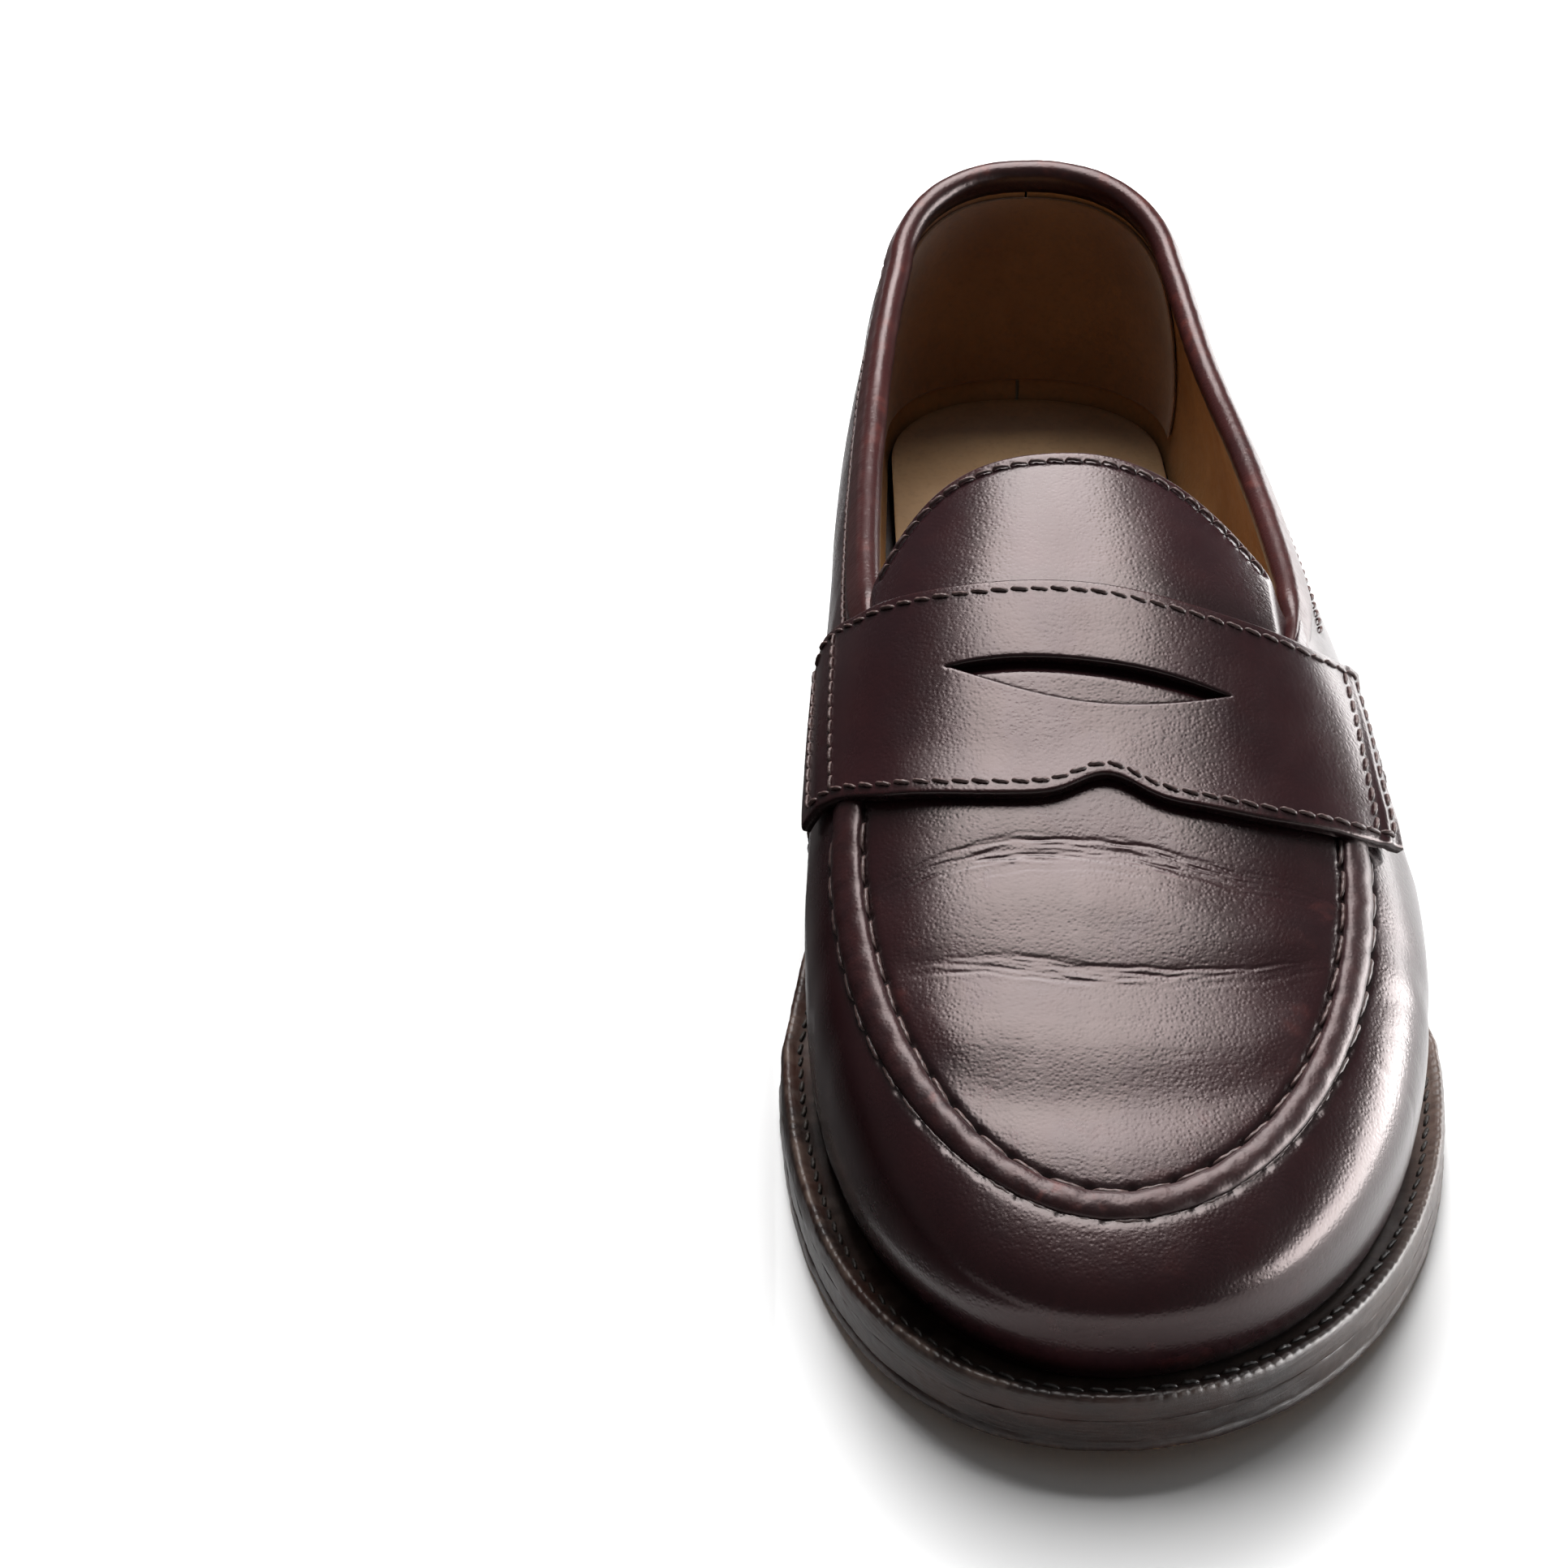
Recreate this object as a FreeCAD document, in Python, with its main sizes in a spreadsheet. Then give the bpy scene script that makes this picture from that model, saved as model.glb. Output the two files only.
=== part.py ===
import FreeCAD, Part
import math
import os

from FreeCAD import Vector

# Penny loafer, the wearer's left shoe. Millimetres. +X is the outer (lateral) side, the toe points to -Y and +Z is up.
# The origin is the centre of the heel's tread on the floor. A "station" is a distance from the back of the heel
# towards the toe, so that y = heel_station - station.

os.makedirs("parts", exist_ok=True)
doc = FreeCAD.newDocument("penny_loafer")

# ---------------------------------------------------------------- driving sizes
SIZES = {
    "heel_station": 36.0,
    "ball_station": 200.0,
    "seam_station": 210.0,
    "side_seam_station": 176.0,
    "leather": 1.6,
    "lining": 1.0,
    "layer_gap": 0.15,
    "counter": 1.0,
    "strap_leather": 2.0,
    "outsole": 5.8,
    "welt": 3.2,
    "sole_stack": 9.2,
    "cork": 2.1,
    "shank_thickness": 1.1,
    "shank_width": 13.0,
    "shank_start": 52.0,
    "shank_end": 158.0,
    "insole": 3.0,
    "insole_inset": 5.0,
    "sock": 0.9,
    "welt_inset": 4.2,
    "rib_width": 2.8,
    "top_piece": 6.0,
    "lift": 4.3,
    "lift_gap": 0.05,
    "heel_breast": 78.0,
    "rubber_station": 27.0,
    "heel_inset": 1.0,
    "nail_radius": 0.8,
    "nail_length": 12.0,
    "cut_width": 150.0,
    "heel_power": 2.25,
    "seam_medial": 39.6,
    "seam_lateral": 43.5,
    "seam_tip": 279.3,
    "seam_taper": 2.43,
    "roll_half_width": 1.9,
    "stitch_reach": 2.45,
    "roll_height": 1.9,
    "binding_radius": 2.3,
    "binding_leather": 0.8,
    "binding_leg": 3.4,
    "binding_end": 155.0,
    "tongue_medial": 35.4,
    "tongue_lateral": 35.4,
    "tongue_top": 138.4,
    "tongue_drop": 18.5,
    "tongue_front": 178.0,
    "apron_back": 180.0,
    "slit_medial": -21.8,
    "slit_lateral": 23.2,
    "slit_medial_station": 184.0,
    "slit_lateral_station": 189.5,
    "slit_back": 184.9,
    "slit_front": 191.8,
    "strap_end_medial_back": 53.0,
    "strap_end_medial_front": 50.0,
    "strap_end_lateral_back": 61.5,
    "strap_end_lateral_front": 52.0,
    "strap_end_back": 168.0,
    "strap_end_front": 204.0,
    "notch_depth": 4.0,
    "notch_width": 6.5,
    "notch_x": 2.9,
    "thread": 0.45,
    "thread_width": 0.9,
}

STATIONS = {"heel": 36.0, "seat": 70.0, "waist": 105.0, "instep": 140.0, "strap": 170.0, "ball": 200.0}

# Half-widths at the named stations, then the toe's exponent, for each line round the shoe.
# "body" is the widest line of the upper, "feather" is where it meets the welt, "sole" is the edge of the sole.
HALF_WIDTHS = {
    "body_medial": (33.5, 38.2, 40.5, 42.5, 44.5, 46.3, 2.3),
    "body_lateral": (34.5, 39.5, 45.5, 50.0, 54.0, 57.3, 2.1),
    "feather_medial": (31.0, 31.0, 30.0, 34.0, 41.0, 45.3, 2.0),
    "feather_lateral": (32.0, 33.5, 37.0, 45.0, 52.5, 56.6, 1.9),
    "sole_medial": (35.0, 34.5, 34.0, 38.0, 45.5, 50.3, 2.3),
    "sole_lateral": (36.0, 37.5, 42.0, 50.0, 58.0, 62.6, 1.9),
}
ENDS = {"body": (1.5, 294.3), "feather": (4.5, 292.8), "sole": (0.0, 299.5)}

# Heights above the floor at stations: the crest of the last, the widest line, the tread, and the foot opening.
PROFILES = {
    "crest": ((0, 110), (36, 108), (100, 100), (136, 93), (168, 83.5), (204, 66.5), (250, 48.5), (282, 38.5), (300, 34)),
    "bulge": ((0, 50), (36, 50), (105, 44), (175, 36), (212, 30), (260, 25), (300, 23)),
    "tread": ((0, 25), (36, 24), (75, 20), (125, 9), (175, 2.5), (205, 0), (235, 0), (260, 1), (300, 5)),
    "topline": ((0, 96), (10, 93), (20, 89), (36, 82.5), (60, 76.5), (85, 73), (115, 71.8), (140, 71.8), (170, 72.5)),
    "fullness_medial": ((36, 1.95), (70, 1.85), (105, 2.1), (150, 2.6), (200, 3.2), (300, 3.5)),
    "fullness_lateral": ((36, 2.05), (70, 1.8), (105, 1.8), (150, 2.0), (200, 2.35), (250, 3.0), (300, 3.5)),
}
# The strap's edges: the station of each edge across the foot, from the inner side to the outer side.
STRAP_FRONT = ((-45, 196), (-32, 205), (-15, 208.3), (0, 209), (15, 210.3), (28, 211.5), (41, 209.8), (52, 204.5))
STRAP_BACK = ((-42, 155), (-36, 163), (-20, 168.5), (0, 170), (28, 174), (38, 173), (50, 166))

sheet = doc.addObject("Spreadsheet::Sheet", "sizes")
row = 0


def store(alias, value):
    """Put one plain number in the sheet under its alias."""
    global row
    row += 1
    sheet.set(f"A{row}", alias)
    sheet.set(f"B{row}", str(value))
    sheet.setAlias(f"B{row}", alias)


for alias, value in SIZES.items():
    store(alias, value)
for line, widths in HALF_WIDTHS.items():
    for place, value in zip(list(STATIONS) + ["toe_power"], widths):
        store(f"{line}_{place}", value)
for line, (back, tip) in ENDS.items():
    store(f"{line}_back", back)
    store(f"{line}_tip", tip)
for profile, pairs in PROFILES.items():
    for station, value in pairs:
        store(f"{profile}_at_{station}", value)
for edge, pairs in (("strap_front", STRAP_FRONT), ("strap_back", STRAP_BACK)):
    for number, (_, value) in enumerate(pairs, 1):
        store(f"{edge}_station_{number}", value)
doc.recompute()


def size(alias):
    return float(sheet.get(alias))


HEEL = size("heel_station")
BALL = size("ball_station")
GAP = size("layer_gap")
MEDIAL, LATERAL = "medial", "lateral"
SIGN = {MEDIAL: -1.0, LATERAL: 1.0}


# ---------------------------------------------------------------- the last, as formulas
def curve_value(pairs, place):
    """A smooth curve through (place, value) pairs that never overshoots them."""
    places = [pair[0] for pair in pairs]
    values = [pair[1] for pair in pairs]
    if place <= places[0]:
        return values[0]
    if place >= places[-1]:
        return values[-1]
    steps = [b - a for a, b in zip(places, places[1:])]
    slopes = [(b - a) / step for a, b, step in zip(values, values[1:], steps)]

    def tangent(index):
        if index == 0 or index == len(slopes):
            return slopes[min(index, len(slopes) - 1)]
        before, after = slopes[index - 1], slopes[index]
        if before * after <= 0:
            return 0.0
        wide, narrow = steps[index] * 2 + steps[index - 1], steps[index] + steps[index - 1] * 2
        return (wide + narrow) / (wide / before + narrow / after)

    index = max(k for k in range(len(steps)) if places[k] <= place)
    step = steps[index]
    part = (place - places[index]) / step
    rise = part * part * (3 - 2 * part)
    start_pull = part * (1 - part) ** 2 * step * tangent(index)
    end_pull = part * part * (part - 1) * step * tangent(index + 1)
    return values[index] * (1 - rise) + values[index + 1] * rise + start_pull + end_pull


LINE_WIDTHS = {
    line: [(station, size(f"{line}_{place}")) for place, station in STATIONS.items()] for line in HALF_WIDTHS
}
TOE_POWERS = {line: size(f"{line}_toe_power") for line in HALF_WIDTHS}
LINE_ENDS = {line: (size(f"{line}_back"), size(f"{line}_tip")) for line in ENDS}
CURVES = {
    profile: [(station, size(f"{profile}_at_{station}")) for station, _ in pairs]
    for profile, pairs in PROFILES.items()
}
STRAP_EDGES = {
    edge: [(pair[0], size(f"{edge}_station_{number}")) for number, pair in enumerate(pairs, 1)]
    for edge, pairs in (("strap_front", STRAP_FRONT), ("strap_back", STRAP_BACK))
}


def height(profile, station):
    return curve_value(CURVES[profile], station)


def feather_height(station):
    return height("tread", station) + size("sole_stack")


def outline_point(line, side, q, inset=0.0):
    """A point (x, station) on a line round the shoe: q is 0 at the heel's back, 1 to 2 along the side, 3 at the toe."""
    name = f"{line}_{side}"
    back, tip = LINE_ENDS[line]
    back, tip = back + inset, tip - inset
    if q <= 1:
        angle = math.radians(90 * max(q, 0))
        power = 2 / size("heel_power")
        x = (LINE_WIDTHS[name][0][1] - inset) * math.sin(angle) ** power
        return SIGN[side] * x, HEEL - (HEEL - back) * math.cos(angle) ** power
    if q <= 2:
        station = HEEL + (q - 1) * (BALL - HEEL)
        return SIGN[side] * (curve_value(LINE_WIDTHS[name], station) - inset), station
    angle = math.radians(90 * (min(q, 3) - 2))
    power = 2 / TOE_POWERS[name]
    x = (LINE_WIDTHS[name][-1][1] - inset) * max(math.cos(angle), 0.0) ** power
    return SIGN[side] * x, BALL + (tip - BALL) * math.sin(angle) ** power


def side_q(station):
    """The q of a station on the side of the shoe."""
    return 1 + (station - HEEL) / (BALL - HEEL)


def half_width(side, station):
    """Half-width of the widest line of the upper at a station."""
    name = f"body_{side}"
    back, tip = LINE_ENDS["body"]
    if station > BALL:
        power = TOE_POWERS[name]
        reach = min(1.0, (station - BALL) / (tip - BALL))
        return LINE_WIDTHS[name][-1][1] * (1 - reach**power) ** (1 / power)
    if station < HEEL:
        power = size("heel_power")
        reach = min(1.0, (HEEL - station) / (HEEL - back))
        return LINE_WIDTHS[name][0][1] * (1 - reach**power) ** (1 / power)
    return curve_value(LINE_WIDTHS[name], station)


def fullness(x, station):
    """The section's exponent: 2 is an ellipse, and more is boxier. It blends across the foot."""
    share = min(1.0, max(0.0, 0.5 + x / 110))
    return height("fullness_medial", station) * (1 - share) + height("fullness_lateral", station) * share


def reach_out(x, station):
    """0 on the crest and 1 on the widest line."""
    side = LATERAL if x > 0 else MEDIAL
    name = f"body_{side}"
    back, tip = LINE_ENDS["body"]
    if station > BALL:
        power = TOE_POWERS[name]
        ahead = (station - BALL) / (tip - BALL)
        return ((abs(x) / LINE_WIDTHS[name][-1][1]) ** power + ahead**power) ** (1 / power)
    return abs(x) / half_width(side, station)


def crown_height(x, station):
    """Height of the upper's outer face over a plan point, with a straight slope beyond its edge."""
    reach = reach_out(x, station)
    power = fullness(x, station)
    low = height("bulge", station)
    rise = height("crest", station) - low
    edge = 0.985

    def arch(r):
        return (1 - r**power) ** (1 / power)

    if reach > edge:
        return low + rise * (arch(edge) + (reach - edge) * (arch(edge) - arch(edge - 0.01)) / 0.01)
    return low + rise * arch(reach)


def wall_point(side, q, g):
    """A point of the upper's outer face: g is -1 at the welt, 0 at the widest line and 1 at the crest."""
    body_x, body_station = outline_point("body", side, q)
    if g <= 0:
        feather_x, feather_station = outline_point("feather", side, q)
        part = 1 - g * g
        x = feather_x + (body_x - feather_x) * part
        station = feather_station + (body_station - feather_station) * part
        low = feather_height(station)
        return Vector(x, HEEL - station, low + (height("bulge", station) - low) * (g + 1))
    angle = math.radians(90 * g)
    centre = min(max(body_station, HEEL), BALL)
    power = fullness(body_x * 0.8, body_station)
    share = max(math.cos(angle), 0.0) ** (2 / power)
    x = body_x * share
    station = centre + (body_station - centre) * share
    power = fullness(x, station)
    low = height("bulge", station)
    arch = max(0.0, 1 - min(1.0, share) ** power) ** (1 / power)
    return Vector(x, HEEL - station, low + (height("crest", station) - low) * arch)


def wall(side, q, g, offset=0.0):
    """wall_point moved out along the face's normal."""
    point = wall_point(side, q, g)
    if offset == 0:
        return point
    dq, dg = 0.01, 0.01
    q0, q1 = max(q - dq, 0.0), min(q + dq, 3.0)
    g0, g1 = max(g - dg, -1.0), min(g + dg, 0.99)
    normal = (wall_point(side, q1, g) - wall_point(side, q0, g)).cross(
        wall_point(side, q, g1) - wall_point(side, q, g0)
    )
    outward = point - Vector(0, HEEL - min(max(HEEL - point.y, HEEL), BALL), height("bulge", HEEL - point.y) - 12)
    if normal.dot(outward) < 0:
        normal = normal * -1
    if q <= 0.0 or q >= 3.0:
        normal.x = 0.0
    return point + normal.normalize() * offset


def crown(x, station, offset=0.0):
    """A point of the upper's top, moved out along its normal."""
    step = 0.2
    slope_x = (crown_height(x + step, station) - crown_height(x - step, station)) / (2 * step)
    slope_s = (crown_height(x, station + step) - crown_height(x, station - step)) / (2 * step)
    normal = Vector(-slope_x, slope_s, 1).normalize()
    return Vector(x, HEEL - station, crown_height(x, station)) + normal * offset


def seam_reach(x, station, widen):
    """1 on the apron seam's line, made wider or narrower by widen."""
    seam = size("seam_station")
    half = size("seam_lateral") if x > 0 else size("seam_medial")
    if station > seam:
        return math.hypot(abs(x) / (half + widen), (station - seam) / (size("seam_tip") - seam + widen))
    taper = size("seam_taper") * (seam - station) / (seam - size("side_seam_station"))
    return abs(x) / (half + widen - taper)


def solve(function, low, high):
    """The place between low and high where a rising function passes zero."""
    for _ in range(40):
        middle = (low + high) / 2
        if function(middle) < 0:
            low = middle
        else:
            high = middle
    return (low + high) / 2


def seam_g(side, q, widen):
    """The g at which the wall reaches the apron seam."""

    def inside(g):
        point = wall_point(side, q, g)
        return 1 - seam_reach(point.x, HEEL - point.y, widen)

    return solve(inside, 0.0, 0.98)


def topline_g(side, q, drop=0.0):
    """The g at which the wall reaches the foot opening's edge, or a height below it."""

    def above(g):
        point = wall_point(side, q, g)
        return point.z - height("topline", HEEL - point.y) + drop

    return solve(above, -0.5, 0.95)


def steps(first, last, count):
    return [first + (last - first) * index / (count - 1) for index in range(count)]


def even_levels(side, q, low, high, count):
    """g values from low to high, evenly spaced along the wall."""
    fine = steps(low, high, 41)
    points = [wall_point(side, q, g) for g in fine]
    lengths = [0.0]
    for first, second in zip(points, points[1:]):
        lengths.append(lengths[-1] + first.distanceToPoint(second))
    levels = []
    index = 0
    for target in steps(0.0, lengths[-1], count):
        while index < len(fine) - 2 and lengths[index + 1] < target:
            index += 1
        part = (target - lengths[index]) / (lengths[index + 1] - lengths[index])
        levels.append(fine[index] + (fine[index + 1] - fine[index]) * min(1.0, max(0.0, part)))
    return levels


# ---------------------------------------------------------------- making solids
problems = []
made = []


def skin(grid):
    surface = Part.BSplineSurface()
    surface.interpolate(grid)
    return surface


def panel_shape(outer, inner):
    """A closed solid between two grids of points of the same size."""
    top, bottom = skin(outer), skin(inner)
    faces = [top.toShape(), bottom.toShape()]
    for surface_edge in ("u0", "u1", "v0", "v1"):
        edges = []
        for surface in (top, bottom):
            u0, u1, v0, v1 = surface.bounds()
            curve = {
                "u0": surface.uIso(u0),
                "u1": surface.uIso(u1),
                "v0": surface.vIso(v0),
                "v1": surface.vIso(v1),
            }[surface_edge]
            edges.append(curve.toShape())
        faces.append(Part.makeRuledSurface(edges[0], edges[1]))
    shell = Part.makeCompound(faces)
    shell.sewShape()
    solid = Part.makeSolid(shell.Shells[0])
    if solid.Volume < 0:
        solid.reverse()
    return solid


def add_shape(name, shape):
    feature = doc.addObject("Part::Feature", name)
    feature.Label = name
    feature.Shape = shape
    feature.Placement = FreeCAD.Placement()
    made.append(feature)
    return feature


def wall_panel(columns, levels, out, thickness):
    """A panel of the wall. columns are (side, q) pairs and levels(side, q) gives the g of each row."""
    grids = []
    for offset in (out, out - thickness):
        grids.append([[wall(side, q, g, offset) for g in levels(side, q)] for side, q in columns])
    return panel_shape(*grids)


def crown_panel(rows, out, thickness):
    """A panel of the top. rows hold (x, station) pairs."""
    grids = [[[crown(x, station, offset) for x, station in line] for line in rows] for offset in (out, out - thickness)]
    return panel_shape(*grids)


def even_q(first, last, count):
    """q values from first to last, about evenly spaced round the shoe."""
    heel_arc = 1.5 * HEEL
    toe_arc = 1.2 * (LINE_ENDS["body"][1] - BALL)
    marks = [(0.0, 0.0), (1.0, heel_arc), (2.0, heel_arc + BALL - HEEL), (3.0, heel_arc + BALL - HEEL + toe_arc)]

    def lay(value, source, target):
        for low, high in zip(marks, marks[1:]):
            if value <= high[source] or high is marks[-1]:
                part = (value - low[source]) / (high[source] - low[source])
                return low[target] + part * (high[target] - low[target])

    return [lay(length, 1, 0) for length in steps(lay(first, 0, 1), lay(last, 0, 1), count)]


def round_toe(start, count):
    """(side, q) pairs from the inner side round the toe to the outer side."""
    places = even_q(start, 3.0, count)
    return [(MEDIAL, q) for q in places] + [(LATERAL, q) for q in reversed(places[:-1])]


def round_heel(end, count):
    """(side, q) pairs from the inner side round the heel to the outer side."""
    places = even_q(end, 0.0, count)
    return [(MEDIAL, q) for q in places] + [(LATERAL, q) for q in reversed(places[:-1])]


# ---------------------------------------------------------------- the upper
side_q_front = side_q(size("side_seam_station") + 0.6)
side_q_back = side_q(size("side_seam_station") - 0.6)
leather = size("leather")
SEAM_CLEARANCE = 2.05
PUFF = 0.85


def vamp_levels(side, q, top_widen=SEAM_CLEARANCE, bottom=-1.0):
    return even_levels(side, q, bottom, seam_g(side, q, top_widen), 10)


def add_vamp():
    add_shape("vamp", wall_panel(round_toe(side_q_front, 21), vamp_levels, 0.0, leather))


def add_vamp_lining():
    out = -(leather + GAP + PUFF + GAP)
    columns = round_toe(side_q_front, 21)
    add_shape("vamp_lining", wall_panel(columns, vamp_levels, out, size("lining")))


def add_toe_puff():
    def levels(side, q):
        return vamp_levels(side, q, 4.0, -0.85)

    add_shape("toe_puff", wall_panel(round_toe(2.35, 13), levels, -(leather + GAP), PUFF))


def apron_rows(inset, back, columns=13, straight=5, front=9):
    """(x, station) rows over the apron: straight rows from the back, then rows that spread into the round toe."""
    seam = size("seam_station")
    rows = []
    for station in steps(back, seam, straight)[:-1]:
        taper = size("seam_taper") * (seam - station) / (seam - size("side_seam_station"))
        halves = {-1: size("seam_medial") - inset - taper, 1: size("seam_lateral") - inset - taper}
        rows.append([(u * halves[1 if u > 0 else -1], station) for u in steps(-1.0, 1.0, columns)])
    for v in steps(0.0, 1.0, front):
        line = []
        for u in steps(-1.0, 1.0, columns):
            half = (size("seam_lateral") if u > 0 else size("seam_medial")) - inset
            x = u * half * math.sqrt(1 - v * v / 2)
            ahead = (size("seam_tip") - inset - seam) * v * math.sqrt(1 - u * u / 2)
            line.append((x, seam + ahead))
        rows.append(line)
    return rows


def add_apron():
    add_shape("apron", crown_panel(apron_rows(SEAM_CLEARANCE, size("apron_back")), 0.0, leather))
    add_shape("apron_lining", crown_panel(apron_rows(3.2, size("apron_back")), -(leather + GAP), size("lining")))


def seam_columns(count):
    """(side, q) pairs along the seam, from just in front of the strap on each side."""
    inner = [(MEDIAL, q) for q in even_q(side_q(203.0), 3.0, count)]
    return inner + [(LATERAL, q) for q in even_q(3.0, side_q(212.0), count)[1:]]


def add_apron_seam():
    """The raised roll between the two rows of stitches."""
    half = size("roll_half_width")
    outer, inner = [], []
    for side, q in seam_columns(24):
        over, under = [], []
        for t in steps(-1.0, 1.0, 9):
            g = seam_g(side, q, t * half)
            over.append(wall(side, q, g, 0.15 + (size("roll_height") - 0.15) * math.sqrt(1 - 0.995 * t * t)))
            under.append(wall(side, q, g, -leather))
        outer.append(over)
        inner.append(under)
    add_shape("apron_seam", panel_shape(outer, inner))


def quarter_levels(side, q):
    return even_levels(side, q, -1.0, topline_g(side, q), 10)


def add_quarters():
    counter_out = leather + GAP
    lining_out = counter_out + size("counter") + GAP
    for side in (MEDIAL, LATERAL):
        columns = [(side, q) for q in even_q(0.004, side_q_back, 22)]
        add_shape(f"quarter_{side}", wall_panel(columns, quarter_levels, 0.0, leather))
        shape = wall_panel(columns, quarter_levels, -lining_out, size("lining"))
        add_shape(f"quarter_lining_{side}", shape)

    def counter_levels(side, q):
        return even_levels(side, q, -0.9, topline_g(side, q, 9.0 + 6.0 * q), 8)

    add_shape("heel_counter", wall_panel(round_heel(1.25, 12), counter_levels, -counter_out, size("counter")))

    def grip_levels(side, q):
        return even_levels(side, q, -0.55, topline_g(side, q, 5.5), 8)

    grip_out = lining_out + size("lining") + GAP
    add_shape("heel_grip", wall_panel(round_heel(0.95, 9), grip_levels, -grip_out, 0.8))


def add_backstay():
    def levels(side, q):
        return even_levels(side, q, -1.0, topline_g(side, q, 5.0), 9)

    add_shape("backstay", wall_panel(round_heel(0.13, 4), levels, 0.1 + 1.2, 1.2))


def topline_columns(count, end):
    return round_heel(side_q(end), count)


def add_topline_binding():
    """A folded strip over the top edges of the quarters and their linings."""
    depth = leather + GAP + size("counter") + GAP + size("lining")
    middle = -depth / 2
    leg = size("binding_leg")
    path = [(1.0, -leg), (1.0, -leg / 2), (1.0, 0.0)]
    path += [(math.cos(math.radians(a)), math.sin(math.radians(a))) for a in (30, 60, 90, 120, 150)]
    path += [(-1.0, 0.0), (-1.0, -leg / 2), (-1.0, -leg)]
    outer, inner = [], []
    for side, q in topline_columns(25, size("binding_end")):
        g = topline_g(side, q)
        edge = wall(side, q, g)
        out = (wall(side, q, g, 1.0) - edge).normalize()
        up = edge - wall(side, q, g - 0.02)
        up = (up - out * up.dot(out)).normalize()
        for grid, radius in ((outer, size("binding_radius") + size("binding_leather")), (inner, size("binding_radius"))):
            line = []
            for across, rise in path:
                lift = rise * radius if rise > 0 else rise
                line.append(edge + out * (middle + across * radius) + up * (lift + 0.1))
            grid.append(line)
    add_shape("topline_binding", panel_shape(outer, inner))


def tongue_edge(x):
    """Station of the tongue's arched top edge."""
    if x < 0:
        return size("tongue_top") + size("tongue_drop") * (abs(x) / size("tongue_medial")) ** 4
    return size("tongue_top") + size("tongue_drop") * (x / size("tongue_lateral")) ** 2.2


def tongue_rows(inset, first=0.0, last=1.0, count=9):
    rows = []
    for v in steps(first, last, count):
        line = []
        for u in steps(-1.0, 1.0, 15):
            x = u * ((size("tongue_lateral") if u > 0 else size("tongue_medial")) - inset)
            top = tongue_edge(x) + inset
            line.append((x, top + v * (size("tongue_front") - top)))
        rows.append(line)
    return rows


def add_tongue():
    add_shape("tongue", crown_panel(tongue_rows(0.0), 0.0, leather))
    add_shape("tongue_lining", crown_panel(tongue_rows(1.2), -(leather + GAP), size("lining")))


def strap_x(u, station):
    """x of the strap's thread u across the foot, from -1 at the inner end to 1 at the outer end."""
    side = LATERAL if u > 0 else MEDIAL
    half = half_width(side, station)

    ahead = (station - size("strap_end_back")) / (size("strap_end_front") - size("strap_end_back"))
    back_end, front_end = size(f"strap_end_{side}_back"), size(f"strap_end_{side}_front")

    def below(share):
        return back_end + ahead * (front_end - back_end) - crown_height(SIGN[side] * half * share, station)

    end = solve(below, 0.5, 0.984)
    angle = math.radians(90 * (1 - abs(u)))
    return SIGN[side] * half * end * math.cos(angle) ** 0.8


def strap_station(u, v):
    """Station at u across the strap and v from its back edge to its front edge."""
    x = strap_x(u, 190.0)
    notch = size("notch_depth") * math.exp(-(((x - size("notch_x")) / size("notch_width")) ** 2))
    front = curve_value(STRAP_EDGES["strap_front"], x) - notch
    back = curve_value(STRAP_EDGES["strap_back"], x)
    return back + v * (front - back)


def strap_point(u, v, offset):
    station = strap_station(u, v)
    return crown(strap_x(u, station), station, offset)


def strap_patch(us, vs, out, thickness):
    return panel_shape(
        *[[[strap_point(u, v, offset) for u in us] for v in vs] for offset in (out, out - thickness)]
    )


def add_strap():
    out = 0.2 + size("strap_leather")
    us = steps(-1.0, -0.2, 15) + steps(-0.2, 0.2, 15)[1:] + steps(0.2, 1.0, 15)[1:]
    shape = strap_patch(us, steps(0.0, 1.0, 7), out, size("strap_leather"))
    ends = [
        Vector(size(f"slit_{side}"), HEEL - size(f"slit_{side}_station"), 0.0) for side in (MEDIAL, LATERAL)
    ]
    middle_x = (ends[0].x + ends[1].x) / 2
    edges = [
        Part.Arc(ends[0], Vector(middle_x, HEEL - size(f"slit_{edge}"), 0.0), ends[1]).toShape()
        for edge in ("back", "front")
    ]
    cutter = Part.Face(Part.Wire(edges)).extrude(Vector(0, 0, 120))
    add_shape("penny_strap", shape.cut(cutter))


# ---------------------------------------------------------------- threads
def thread_on_wall(columns, level, out, spread=0.012):
    """A flat line of thread along the wall. level(side, q) gives its g."""
    thread = size("thread")
    grids = []
    for offset in (out + thread, out):
        grids.append([[wall(side, q, level(side, q) + k * spread, offset) for k in (-1, 0, 1)] for side, q in columns])
    return panel_shape(*grids)


def thread_on_seam(widen):
    half = size("thread_width") / 2
    grids = []
    for offset in (0.05 + size("thread"), 0.05):
        grids.append(
            [
                [wall(side, q, seam_g(side, q, widen + k * half), offset) for k in (-1, 0, 1)]
                for side, q in seam_columns(24)
            ]
        )
    return panel_shape(*grids)


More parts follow.
